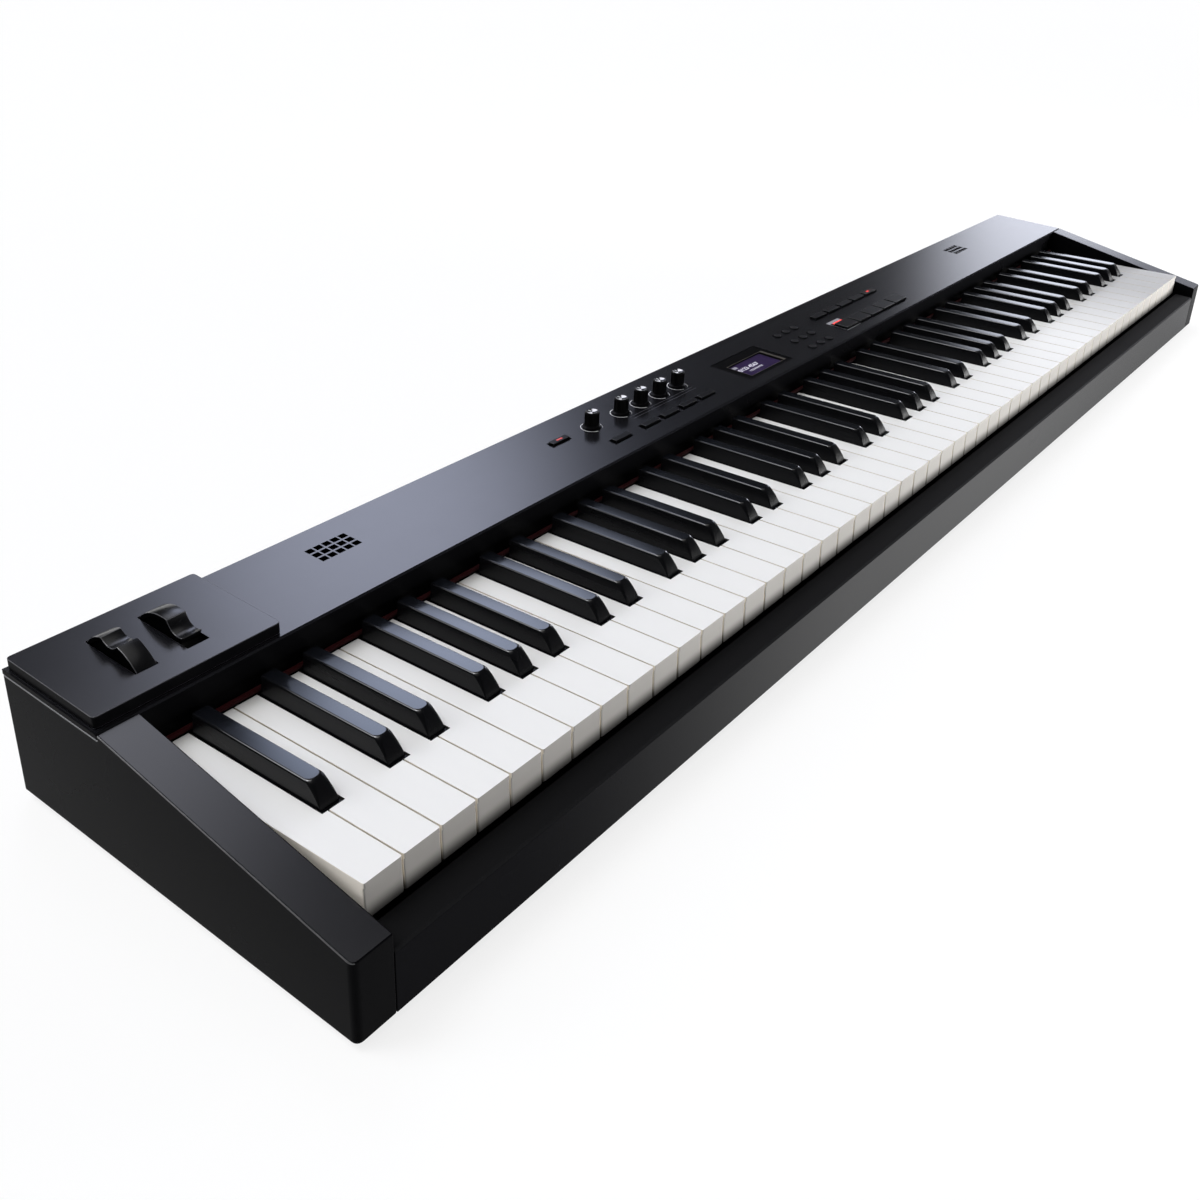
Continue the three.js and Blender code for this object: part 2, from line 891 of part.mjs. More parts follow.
function rearBody() {
  const plate = block(
    [innerLeft, innerRight],
    [rearInner, caseRear],
    [footHeight, panelUnder - seam],
  );
  const y = [rearInner - overrun, caseRear + overrun];
  return cut(plate, socket.places.map(({ kind, x }) => socketHole(kind, x, y, socket.panelGap)));
}

place('rear_panel', rearBody(), 'case');

function jackBody() {
  const face = rearInner - seam;
  const back = face - socket.bodyDepth;
  const last = socket.places[socket.places.length - 1].x;
  const half = socket.bodySize / 2;
  const plate = block(
    [socket.firstX - half - socket.boardMargin, last + half + socket.boardMargin],
    [back - boardThickness, back],
    [socket.z - socket.boardHeight / 2, socket.z + socket.boardHeight / 2],
  );
  const bodies = socket.places.map(({ x }) => block(
    [x - half, x + half],
    [back - boardThickness / 2, face],
    [socket.z - half, socket.z + half],
  ));
  const y = [face - socket.boreDepth, face + overrun];
  return cut(join([plate, ...bodies]), socket.places.map(({ kind, x }) => socketHole(kind, x, y, 0)));
}

place('jack_board', jackBody(), 'board');

// Keys, built level in their own frame and then tilted
const keyboard = new THREE.Group();
keyboard.position.set(keyLeft, keyFront, keyTop);
keyboard.rotation.x = -keyTilt;
piano.add(keyboard);

const ebonyCap = {
  width: 11.6,
  height: 12,
  taperShare: 0.2,
  slopeDepth: 8.6,
  shoulder: 1.6,
  roundDepth: 2.6,
  roundDrop: 1.4,
  rearGap: 2.7,
};
ebonyCap.rear = action.headRear - ebonyCap.rearGap;

// Where each black key stands from the joint of its two white keys, as a share of the pitch
const sharpShares = { A: 0.136, C: -0.085, D: 0.085, F: -0.136, G: 0 };
const letters = 'ABCDEFG';

function letterOf(index) {
  return letters[index % letters.length];
}

// Octave numbers change at each C, and the lowest C is the third white key
function octaveOf(index) {
  return Math.floor((index + letters.length - letters.indexOf('C')) / letters.length);
}

// The black key to the right of a white key, or null
function sharpAfter(index) {
  const letter = letterOf(index);
  if (index < 0 || index >= whiteKeyCount - 1 || !(letter in sharpShares)) {
    return null;
  }
  return (index + 1 + sharpShares[letter]) * keyPitch;
}

function whiteKey(index) {
  const left = index * keyPitch + keyGap / 2;
  const right = (index + 1) * keyPitch - keyGap / 2;
  const sharpLeft = sharpAfter(index - 1);
  const sharpRight = sharpAfter(index);
  const neck = [
    sharpLeft === null ? left : sharpLeft + action.notchHalf,
    sharpRight === null ? right : sharpRight - action.notchHalf,
  ];
  const depth = [-action.whiteDepth, 0];
  const front = block([left, right], [0, action.notchY], depth);
  const rear = block(neck, [action.notchY - overrun, action.headRear], depth);
  const tail = block(
    neck,
    [action.headRear - overrun, action.whiteTailEnd],
    [-action.whiteDepth, action.tailTop],
  );
  const heel = block(
    neck,
    [action.whiteFootFront, action.whiteTailEnd],
    [-action.footDepth, action.tailTop],
  );
  return { body: join([front, rear, tail, heel]), neck };
}

// A black key is one side outline run across its width, narrowing from the white tops upward
function blackKey(middle) {
  const front = action.notchY + action.frontGap;
  const profile = [
    [front, -action.whiteDepth],
    [action.blackFootFront, -action.whiteDepth],
    [action.blackFootFront, -action.footDepth],
    [action.blackTailEnd, -action.footDepth],
    [action.blackTailEnd, action.tailTop],
    [ebonyCap.rear, action.tailTop],
    [ebonyCap.rear, ebonyCap.height],
    [front + ebonyCap.slopeDepth + ebonyCap.roundDepth, ebonyCap.height],
    [front + ebonyCap.slopeDepth, ebonyCap.height - ebonyCap.roundDrop],
    [front + ebonyCap.shoulder, 0],
    [front, 0],
  ];
  const half = ebonyCap.width / 2;
  const geometry = runAlongX(profile, [middle - half, middle + half]);
  const position = geometry.attributes.position;
  for (let i = 0; i < position.count; i += 1) {
    const rise = Math.max(0, position.getZ(i)) / ebonyCap.height;
    const across = position.getX(i) - middle;
    position.setX(i, middle + across * (1 - ebonyCap.taperShare * rise));
  }
  return solid(geometry);
}

const jointedOctave = 4;
const whiteGroups = new Map();
const blackGroups = new Map();

// Keys of the middle octave each get a name of their own, the others one name for an octave
function groupName(colour, index) {
  const octave = octaveOf(index);
  const letter = letterOf(index).toLowerCase();
  const sharp = colour === 'black' ? '_sharp' : '';
  if (octave === jointedOctave) {
    return `${colour}_key_${letter}${sharp}_${octave}`;
  }
  return `${colour}_keys_octave_${octave}`;
}

function addTo(groups, name, entry) {
  groups.set(name, [...(groups.get(name) ?? []), entry]);
}

for (let index = 0; index < whiteKeyCount; index += 1) {
  addTo(whiteGroups, groupName('white', index), whiteKey(index));
  const middle = sharpAfter(index);
  if (middle !== null) {
    addTo(blackGroups, groupName('black', index), { body: blackKey(middle), middle });
  }
}

for (const [name, keys] of whiteGroups) {
  const across = [keys[0].neck[0], keys[keys.length - 1].neck[1]];
  const bar = block(
    across,
    [action.whiteFootFront, action.whiteTailEnd],
    [-action.footDepth, action.barTop],
  );
  place(name, join([bar, ...keys.map((key) => key.body)]), 'ivory', keyboard);
}

for (const [name, keys] of blackGroups) {
  const half = ebonyCap.width / 2;
  const across = [keys[0].middle - half, keys[keys.length - 1].middle + half];
  const bar = block(
    across,
    [action.blackFootFront, action.blackTailEnd],
    [-action.footDepth, action.tailTop],
  );
  place(name, join([bar, ...keys.map((key) => key.body)]), 'ebony', keyboard);
}

// The key frame under the keys: a stop rail at the front and the pivot rail at the back
const chassis = {
  plate: 2,
  front: 6,
  stopFront: 8,
  stopDepth: 12,
  stopGap: 1,
  pivotMargin: 1.5,
  pivotGap: 0.4,
  pivotWidth: 13,
};

function chassisBody() {
  const base = footHeight + wall + seam;
  const floor = base + chassis.plate;
  const dip = (action.axisY - chassis.stopFront) * Math.sin(keyTilt);
  const keyUnder = tiltedHeight(chassis.stopFront + chassis.stopDepth, -action.whiteDepth);
  const stopTop = keyUnder - dip - chassis.stopGap;
  const pivotTop = tiltedHeight(action.blackTailEnd, -action.footDepth) - chassis.pivotGap;
  const pivotFront = tiltedDepth(action.whiteFootFront, -action.footDepth) - chassis.pivotMargin;
  const stopFront = keyFront + chassis.stopFront;
  const profile = [
    [keyFront + chassis.front, base],
    [pivotFront + chassis.pivotWidth, base],
    [pivotFront + chassis.pivotWidth, pivotTop],
    [pivotFront, pivotTop],
    [pivotFront, floor],
    [stopFront + chassis.stopDepth, floor],
    [stopFront + chassis.stopDepth, stopTop],
    [stopFront, stopTop],
    [stopFront, floor],
    [keyFront + chassis.front, floor],
  ];
  return solid(runAlongX(profile, [keyLeft, -keyLeft]));
}

place('key_frame', chassisBody(), 'frame');

function feltBody() {
  const rear = panelFront - seam;
  return block(
    [keyLeft, -keyLeft],
    [rear - felt.thickness, rear],
    [felt.low, felt.low + felt.height],
  );
}

place('felt_strip', feltBody(), 'felt');

export default piano;
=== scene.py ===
import json
import math

import bmesh
import bpy
from mathutils import Matrix, Vector


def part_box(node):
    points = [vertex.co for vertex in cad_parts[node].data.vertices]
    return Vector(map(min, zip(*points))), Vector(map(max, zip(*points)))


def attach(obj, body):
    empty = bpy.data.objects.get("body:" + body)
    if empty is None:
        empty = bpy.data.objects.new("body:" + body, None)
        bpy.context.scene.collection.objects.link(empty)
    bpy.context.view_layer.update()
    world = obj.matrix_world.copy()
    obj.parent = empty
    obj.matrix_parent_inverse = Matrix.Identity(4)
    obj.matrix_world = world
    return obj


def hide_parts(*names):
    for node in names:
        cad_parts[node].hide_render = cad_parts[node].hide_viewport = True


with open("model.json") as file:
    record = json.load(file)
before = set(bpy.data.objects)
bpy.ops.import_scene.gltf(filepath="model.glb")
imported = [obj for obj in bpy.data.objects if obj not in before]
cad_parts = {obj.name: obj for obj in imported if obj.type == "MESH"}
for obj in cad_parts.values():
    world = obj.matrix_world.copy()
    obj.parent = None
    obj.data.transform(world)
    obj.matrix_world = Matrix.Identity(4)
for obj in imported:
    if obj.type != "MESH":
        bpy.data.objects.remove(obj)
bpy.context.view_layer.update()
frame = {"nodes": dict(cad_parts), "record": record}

mm = 0.001
behaviour = frame["record"]["behaviour"]
bodyOf = {node: body for body, nodes in behaviour["bodies"].items() for node in nodes}
joints = {joint["name"]: joint for joint in behaviour["joints"]}


def boxOf(node):
    return [Vector(corner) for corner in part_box(node)]


panelHigh = boxOf("top_panel")[1]
panelTop = boxOf("display_window")[1].z + 0.3 * mm


def nodesWith(text):
    return sorted(name for name in frame["nodes"] if text in name)


def addPiece(name, data, finish=None):
    piece = bpy.data.objects.new(name, data)
    bpy.context.scene.collection.objects.link(piece)
    if finish:
        data.materials.clear()
        data.materials.append(finishes[finish])
    return piece


# Node helpers. A value given to an input is a number, a colour or the output of another node.
def setInputs(tree, node, inputs):
    for key, value in inputs.items():
        if isinstance(value, bpy.types.NodeSocket):
            tree.links.new(value, node.inputs[key])
        else:
            node.inputs[key].default_value = value


def addNode(tree, kind, inputs, **settings):
    node = tree.nodes.new(kind)
    for name, value in settings.items():
        setattr(node, name, value)
    setInputs(tree, node, inputs)
    return node.outputs


def mathNode(tree, operation, *values):
    return addNode(tree, "ShaderNodeMath", dict(enumerate(values)), operation=operation)[0]


def rangeNode(tree, value, start, end, low, high, blend="SMOOTHSTEP"):
    inputs = {"Value": value, "From Min": start, "From Max": end, "To Min": low, "To Max": high}
    return addNode(tree, "ShaderNodeMapRange", inputs, interpolation_type=blend)["Result"]


def vectorNode(tree, operation, *values):
    return addNode(tree, "ShaderNodeVectorMath", dict(enumerate(values)), operation=operation)


def mixColour(tree, factor, *colours):
    first, second = (item if isinstance(item, bpy.types.NodeSocket) else (*item, 1) for item in colours)
    return addNode(tree, "ShaderNodeMix", {"Factor": factor, 6: first, 7: second}, data_type="RGBA")[2]


def axesOf(tree, kind, output):
    return addNode(tree, "ShaderNodeSeparateXYZ", {0: addNode(tree, kind, {})[output]})


def raysOf(tree):
    path = addNode(tree, "ShaderNodeLightPath", {})
    gloss = mathNode(tree, "MAXIMUM", path["Is Glossy Ray"], path["Is Transmission Ray"])
    return path["Is Camera Ray"], gloss


def socketKind(value):
    if isinstance(value, str):
        return value
    if isinstance(value, (int, float)):
        return "Int" if isinstance(value, int) else "Float"
    return "Color" if len(value) == 4 else "Vector"


# A group's inputs are given with their values, or with their kind where they have none
def makeGroup(name, inputs, outputs, build, kind="ShaderNodeTree"):
    group = bpy.data.node_groups.new(name, kind)
    for side, sockets in (("INPUT", inputs), ("OUTPUT", outputs)):
        for label, value in sockets.items():
            socket = group.interface.new_socket(
                label, in_out=side, socket_type=f"NodeSocket{socketKind(value)}")
            if not isinstance(value, str):
                socket.default_value = value
    given = group.nodes.new("NodeGroupInput").outputs
    addNode(group, "NodeGroupOutput", build(group, given))
    return group


def placeGroup(tree, group, values):
    return addNode(tree, "ShaderNodeGroup", values, node_tree=group)


# Camera: solved from the key joints and the edges of the case
cameraPlace = {
    "location": (-0.88754, -0.44222, 0.48294),
    "forward": (0.75506, 0.49958, -0.42462),
    "right": (0.57607, -0.81475, 0.06577),
    "lens": 38.254,
    "sensor": 36,
    "shift": (-0.0754, -0.1336),
    "reach": 60,
}


def makeCamera():
    lens = bpy.data.cameras.new("camera")
    lens.lens = cameraPlace["lens"]
    lens.sensor_width = cameraPlace["sensor"]
    lens.shift_x, lens.shift_y = cameraPlace["shift"]
    lens.clip_end = cameraPlace["reach"]
    forward, right = (Vector(cameraPlace[key]).normalized() for key in ("forward", "right"))
    turn = Matrix((right, right.cross(forward), -forward)).transposed().to_4x4()
    camera = addPiece("camera", lens)
    camera.matrix_world = Matrix.Translation(cameraPlace["location"]) @ turn
    bpy.context.scene.camera = camera


# Studio: a white horizon, a dim wall above it, a bright ceiling and soft glows on the wall
studio = {
    "horizon": 1.0,
    "wall": 0.025,
    "ceiling": 0.8,
    "horizonEnd": (0.06, 0.14),
    "ceilingStart": (0.82, 0.95),
}
# Azimuth, height, inner and outer angle, level and tint of each glow
glows = [
    (49, 31, 1, 11.6, 4.9, (0.74, 0.79, 1.0)),
    (9, 12, 11.5, 15.5, 3.6, (0.85, 0.88, 1.0)),
    (59, 49.5, 5, 15, 3.0, (0.86, 0.88, 1.0)),
    (132, 26, 8, 18, 5.0, (0.93, 0.95, 1.0)),
    (130, 60, 8, 18, 6.0, (0.95, 0.96, 1.0)),
]
topSun = {"azimuth": 160, "height": 70, "strength": 0.85, "angle": 40}
fills = {
    "rightFill": {"place": (1.2, -0.95, 0.1), "aim": (0.4, -0.1, 0.06), "size": (0.9, 0.14),
                  "energy": 50, "gloss": False},
    "frontShine": {"place": (1.53, -0.95, 0.16), "aim": (0.48, -0.1, 0.05), "size": (0.9, 0.2),
                   "energy": 5.6, "gloss": True},
}
# Floor: white, with the part's soft shadow kept at a share of its depth
floorLook = {"half": 20, "colour": 0.95, "lift": 0.8}


def directionOf(azimuth, height):
    turn, rise = math.radians(azimuth), math.radians(height)
    return Vector((math.cos(turn) * math.cos(rise), math.sin(turn) * math.cos(rise), math.sin(rise)))


def addLamp(light, towards, place=(0, 0, 0)):
    lamp = addPiece(light.name, light)
    lamp.location = place
    lamp.rotation_euler = towards.to_track_quat("Z", "Y").to_euler()
    return lamp


def makeLamps():
    sun = bpy.data.lights.new("topSun", "SUN")
    sun.energy = topSun["strength"]
    sun.angle = math.radians(topSun["angle"])
    addLamp(sun, directionOf(topSun["azimuth"], topSun["height"]))
    for name, values in fills.items():
        fill = bpy.data.lights.new(name, "AREA")
        fill.shape = "RECTANGLE"
        fill.size, fill.size_y = values["size"]
        fill.energy = values["energy"]
        place = Vector(values["place"])
        lamp = addLamp(fill, place - Vector(values["aim"]), place)
        lamp.visible_glossy = values["gloss"]
        lamp.visible_diffuse = not values["gloss"]


def addGlow(tree, direction, colour, azimuth, height, inner, outer, level, tint):
    along = vectorNode(tree, "DOT_PRODUCT", direction, directionOf(azimuth, height))["Value"]
    outer, inner = (math.cos(math.radians(angle)) for angle in (outer, inner))
    share = rangeNode(tree, along, outer, inner, 0, 1)
    glow = mixColour(tree, share, (0, 0, 0), [level * part for part in tint])
    return vectorNode(tree, "ADD", colour, glow)["Vector"]


def clearedTree(item):
    item.use_nodes = True
    item.node_tree.nodes.clear()
    return item.node_tree


def makeWorld():
    world = bpy.data.worlds.new("studioWorld")
    bpy.context.scene.world = world
    tree = clearedTree(world)
    direction = addNode(tree, "ShaderNodeTexCoord", {})["Generated"]
    rise = addNode(tree, "ShaderNodeSeparateXYZ", {0: direction})["Z"]
    low = rangeNode(tree, rise, *studio["horizonEnd"], studio["horizon"], studio["wall"])
    high = rangeNode(tree, rise, *studio["ceilingStart"], 0, studio["ceiling"])
    level = mathNode(tree, "ADD", low, high)
    colour = addNode(tree, "ShaderNodeCombineColor", {0: level, 1: level, 2: level})[0]
    for values in glows:
        colour = addGlow(tree, direction, colour, *values)
    camera, gloss = raysOf(tree)
    nearHorizon = mathNode(tree, "LESS_THAN", rise, studio["horizonEnd"][0])
    seen = mathNode(tree, "MAXIMUM", camera, mathNode(tree, "MULTIPLY", gloss, nearHorizon))
    light = addNode(tree, "ShaderNodeBackground", {"Color": mixColour(tree, seen, colour, (1, 1, 1))})
    addNode(tree, "ShaderNodeOutputWorld", {"Surface": light[0]})


def makeFloor():
    mesh = bpy.data.meshes.new("floor")
    half = floorLook["half"]
    corners = [(-half, -half, 0), (half, -half, 0), (half, half, 0), (-half, half, 0)]
    mesh.from_pydata(corners, [], [(0, 1, 2, 3)])
    material = bpy.data.materials.new("floorWhite")
    tree = clearedTree(material)
    share = mathNode(tree, "MULTIPLY", mathNode(tree, "MAXIMUM", *raysOf(tree)), floorLook["lift"])
    colour = (*[floorLook["colour"]] * 3, 1)
    diffuse = addNode(tree, "ShaderNodeBsdfDiffuse", {"Color": colour})[0]
    glow = addNode(tree, "ShaderNodeEmission", {})[0]
    mix = addNode(tree, "ShaderNodeMixShader", {0: share, 1: diffuse, 2: glow})[0]
    addNode(tree, "ShaderNodeOutputMaterial", {"Surface": mix})
    mesh.materials.append(material)
    addPiece("floor", mesh)


makeCamera()
makeWorld()
makeLamps()
makeFloor()
bpy.context.scene.view_settings.view_transform = "Standard"
print("stage ready")


# Fine grain of moulded or painted surfaces: a height for bump and a slow patchiness
def buildGrain(tree, given):
    def noise(scale, detail, roughness):
        return addNode(tree, "ShaderNodeTexNoise", {
            "Vector": given["Vector"], "Scale": given[scale], "Detail": detail,
            "Roughness": roughness})["Fac"]
    return {"Height": noise("Grain Scale", 3.0, 0.6), "Patch": noise("Patch Scale", 4.0, 0.55)}


# A share that falls from one to a low value between two heights, used as painted shade towards the keys'
# base
def buildHeightShade(tree, given):
    height = axesOf(tree, "ShaderNodeTexCoord", "Object")["Z"]
    return {"Share": rangeNode(tree, height, given["Low"], given["High"], given["Left Over"], 1)}


# A share that rises across the width, holds and falls again, or runs from front to rear with
# Along at one. As it stands it neither rises nor falls.
def buildAcross(tree, given):
    axes = axesOf(tree, "ShaderNodeTexCoord", "Object")
    apart = mathNode(tree, "SUBTRACT", axes["Y"], axes["X"])
    where = mathNode(tree, "ADD", axes["X"], mathNode(tree, "MULTIPLY", apart, given["Along"]))
    level = given["Left"]
    for move, after in (("Rise", "Middle"), ("Fall", "Right")):
        level = rangeNode(tree, where, given[f"{move} Start"], given[f"{move} End"], level, given[after])
    return {"Share": level}


# A normal that leans back more and more towards the rear, as on a slightly crowned top
def buildCrown(tree, given):
    depth = axesOf(tree, "ShaderNodeTexCoord", "Object")["Y"]
    ends = [given[label] for label in ("Front", "Rear", "Lean Front", "Lean Rear")]
    lean = rangeNode(tree, depth, *ends, blend="LINEAR")
    back = addNode(tree, "ShaderNodeCombineXYZ", {"Y": lean})[0]
    normal = addNode(tree, "ShaderNodeNewGeometry", {})["Normal"]
    total = vectorNode(tree, "ADD", normal, back)["Vector"]
    return {"Normal": vectorNode(tree, "NORMALIZE", total)["Vector"]}


# Painted highlight: two wedges of light on a dished turned top, which stay in place as it turns
def buildWedges(tree, given):
    def solve(operation, first, second):
        return mathNode(tree, operation, first, second)
    axes = axesOf(tree, "ShaderNodeNewGeometry", "Normal")
    x, y = axes["X"], axes["Y"]
    squareX, squareY = solve("MULTIPLY", x, x), solve("MULTIPLY", y, y)
    length = solve("ADD", squareX, squareY)
    cosine = solve("DIVIDE", solve("SUBTRACT", squareX, squareY), length)
    sine = solve("DIVIDE", solve("MULTIPLY", solve("MULTIPLY", x, y), 2.0), length)
    value = solve("ADD", solve("MULTIPLY", cosine, given["Double Cosine"]),
                  solve("MULTIPLY", sine, given["Double Sine"]))
    return {"Share": rangeNode(tree, value, given["Start"], given["Full"], 0, 1)}


# Painted light and shade: blends three colours by the direction a face points in the part's own axes
def buildFacingShade(tree, given):
    axes = axesOf(tree, "ShaderNodeNewGeometry", "Normal")
    sideways = mathNode(tree, "ABSOLUTE", axes["X"])
    forwards = mathNode(tree, "MULTIPLY", axes["Y"], -1.0)
    first = mixColour(tree, rangeNode(tree, forwards, 0.5, 0.9, 0, 1), given["Top"], given["Front"])
    return {"Color": mixColour(tree, rangeNode(tree, sideways, 0.4, 0.9, 0, 1), first, given["Side"])}


grainGroup = makeGroup(
    "fineGrain", {"Vector": (0, 0, 0), "Grain Scale": 2500.0, "Patch Scale": 9.0},
    {"Height": "Float", "Patch": "Float"}, buildGrain)
facingShadeGroup = makeGroup(
    "facingTint", {label: (1, 1, 1, 1) for label in ("Top", "Front", "Side")}, {"Color": "Color"},
    buildFacingShade)
heightShadeGroup = makeGroup(
    "heightFade", {"High": 0.05, "Low": 0.04, "Left Over": 0.1}, {"Share": "Float"}, buildHeightShade)
acrossGroup = makeGroup(
    "acrossShare",
    {"Rise Start": -2.0, "Rise End": -1.0, "Fall Start": 1.0, "Fall End": 2.0, "Left": 1.0,
     "Middle": 1.0, "Right": 1.0, "Along": 0.0},
    {"Share": "Float"}, buildAcross)
crownGroup = makeGroup(
    "crownNormal", {"Front": 0.0, "Rear": 0.1, "Lean Front": 0.0, "Lean Rear": 0.05},
    {"Normal": "Vector"}, buildCrown)
wedgeGroup = makeGroup(
    "wedgeShare", {"Double Cosine": 1.0, "Double Sine": 0.0, "Start": 0.2, "Full": 0.7},
    {"Share": "Float"}, buildWedges)
finishes = {}


def feed(name, inputs):
    tree = finishes[name].node_tree
    setInputs(tree, tree.nodes["Principled BSDF"], inputs)


def colourOf(name):
    return finishes[name].node_tree.nodes["Principled BSDF"].inputs["Base Color"].links[0].from_socket


# A finish: colour that varies slowly, patchy roughness and a fine bump
def makeFinish(name, colour, roughness, specular=0.5, bump=0.04, metallic=0.0, coatRoughness=0.1,
               grain=2500, depth=0.05, patch=9, spread=0.12, stretch=(1, 1, 1), sheen=0.0, vary=0.04):
    finishes[name] = material = bpy.data.materials.new(name)
    material.use_nodes = True
    tree = material.node_tree
    place = addNode(tree, "ShaderNodeTexCoord", {})["Object"]
    vector = addNode(tree, "ShaderNodeMapping", {"Vector": place, "Scale": stretch})["Vector"]
    grains = placeGroup(tree, grainGroup, {"Vector": vector, "Grain Scale": grain, "Patch Scale": patch})
    tints = [[min(1.0, channel * gain) for channel in colour] for gain in (1 - spread, 1 + spread)]
    bumped = addNode(tree, "ShaderNodeBump", {
        "Strength": bump, "Distance": depth * mm, "Height": grains["Height"]})["Normal"]
    feed(name, {
        "Base Color": mixColour(tree, grains["Patch"], *tints),
        "Roughness": rangeNode(tree, grains["Patch"], 0.2, 0.8, roughness - vary, roughness + vary),
        "Normal": bumped,
        "Metallic": metallic,
        "Specular IOR Level": specular,
        "Coat Roughness": coatRoughness,
        "Sheen Weight": sheen,
    })


# Colour, roughness, specular level and bump of each finish, then what else differs
finishTable = {
    "caseSatin": ((0.0024, 0.0024, 0.0028), 0.28, 0.01, 0.08, {"vary": 0.02}),
    # Painted light: the shelf's colour is lighter than the rail's front
    "shelfSatin": ((0.024, 0.024, 0.0255), 0.4, 0.0, 0.06, {}),
    "slopeSatin": ((0.006, 0.006, 0.008), 0.25, 0.02, 0.04, {"coatRoughness": 0.24}),
    "railSatin": ((0.0028, 0.0028, 0.0036), 0.26, 0.004, 0.06, {"coatRoughness": 0.26, "vary": 0.02}),
    # The edge finishes are lighter and shinier than their faces and paint thin highlights
    "caseEdge": ((0.012, 0.012, 0.014), 0.28, 1.0, 0.04, {}),
    "panelSatin": ((0.006, 0.006, 0.0075), 0.22, 0.5, 0.01, {"vary": 0.004, "patch": 60}),
    "panelEdge": ((0.02, 0.02, 0.024), 0.3, 0.5, 0.04, {}),
    "framePlastic": ((0.012, 0.012, 0.013), 0.55, 0.1, 0.2, {}),
    "ebony": ((0.0035, 0.0036, 0.0042), 0.26, 0.1, 0.04, {"grain": 900, "stretch": (4, 0.35, 4)}),
    "ebonyTop": ((0.004, 0.0045, 0.006), 0.15, 0.5, 0.03,
                 {"grain": 900, "stretch": (4, 0.35, 4), "vary": 0.01}),
    "ebonyEdge": ((0.006, 0.0064, 0.0075), 0.12, 0.35, 0.02, {"coatRoughness": 0.12, "vary": 0.01}),
    "controlBlack": ((0.0022, 0.0022, 0.0026), 0.25, 0.05, 0.03, {}),
    "controlTop": ((0.004, 0.004, 0.005), 0.25, 0.3, 0.02, {}),
    # Painted shade: a dull black for gaps, recesses and hole walls
    "gapBlack": ((0.0012, 0.0012, 0.0014), 0.8, 0.0, 0.02, {}),
    "glassEdge": ((0.055, 0.05, 0.042), 0.3, 0.1, 0.02, {}),
    "buttonBlack": ((0.006, 0.006, 0.007), 0.32, 0.1, 0.05, {}),
    # Painted shade: the buttons' sides are a darker copy of their black
    "buttonSide": ((0.0015, 0.0015, 0.0018), 0.5, 0.02, 0.02, {}),
    "buttonEdge": ((0.014, 0.014, 0.016), 0.3, 0.6, 0.02, {}),
    "glossBlack": ((0.003, 0.003, 0.0038), 0.12, 0.3, 0.01, {"vary": 0.01}),
    "wheelBlack": ((0.0025, 0.0025, 0.003), 0.26, 0.36, 0.06,
                   {"grain": 1400, "stretch": (0.3, 3, 3), "vary": 0.03}),
    # Painted highlight: a lighter finish for strips along the wheels' chamfers
    "wheelEdge": ((0.06, 0.06, 0.065), 0.2, 0.8, 0.02, {}),
    "feltRed": ((0.035, 0.0012, 0.0025), 0.95, 0.1, 0.9,
                {"depth": 0.5, "grain": 1600, "spread": 0.3, "sheen": 0.1}),
    "footRubber": ((0.018, 0.018, 0.018), 0.7, 0.3, 0.3, {}),
    "boardGreen": ((0.01, 0.06, 0.025), 0.45, 0.5, 0.2, {"grain": 300, "spread": 0.3}),
    "coneBlack": ((0.006, 0.006, 0.006), 0.75, 0.2, 0.6, {"grain": 700}),
    "bracketSteel": ((0.5, 0.5, 0.5), 0.3, 0.5, 0.1, {"metallic": 1.0, "stretch": (0.1, 1, 1)}),
    "screwSteel": ((0.06, 0.06, 0.063), 0.35, 0.5, 0.1, {"metallic": 0.8}),
    "nutChrome": ((0.62, 0.62, 0.63), 0.16, 0.5, 0.03, {"metallic": 1.0}),
    "socketBlack": ((0.01, 0.01, 0.01), 0.5, 0.3, 0.1, {}),
    "printGrey": ((0.045, 0.045, 0.052), 0.5, 0.2, 0.05, {}),
    "printPale": ((0.32, 0.32, 0.34), 0.5, 0.2, 0.05, {}),
    "printRing": ((0.8, 0.8, 0.82), 0.5, 0.2, 0.05, {}),
    "printWhite": ((0.72, 0.73, 0.75), 0.5, 0.5, 0.05, {}),
    "ivory": ((0.81, 0.805, 0.79), 0.4, 0.05, 0.3,
              {"depth": 0.04, "grain": 1500, "stretch": (2.5, 0.4, 1), "spread": 0.015}),
    # Painted light: a lighter copy of the side colour for the outermost key sides
    "ivorySide": ((0.88, 0.82, 0.72), 0.5, 0.1, 0.3,
                  {"grain": 700, "stretch": (1, 0.3, 2.5), "spread": 0.06}),
    # Painted shade for the walls of the white keys' cut-outs
    "ivoryShade": ((0.03, 0.027, 0.023), 0.6, 0.05, 0.2, {}),
}
litColours = {
    "screenGlow": ((0.055, 0.034, 0.112), 0.55),
    "screenFigure": ((0.85, 0.83, 0.97), 1.6),
    "screenPale": ((0.62, 0.6, 0.72), 0.6),
    "lightRed": ((0.85, 0.07, 0.06), 1.0),
    "lightDim": ((0.4, 0.04, 0.035), 0.8),
}
for name, (*values, others) in finishTable.items():
    makeFinish(name, *values, **others)
for name, (colour, strength) in litColours.items():
    makeFinish(name, colour, 0.2, bump=0.02)
    feed(name, {"Emission Color": (*colour, 1), "Emission Strength": strength})
makeFinish("lensGlass", (0.004, 0.004, 0.005), 0.06, bump=0.0, vary=0.01)
feed("lensGlass", {"Alpha": 0.3})

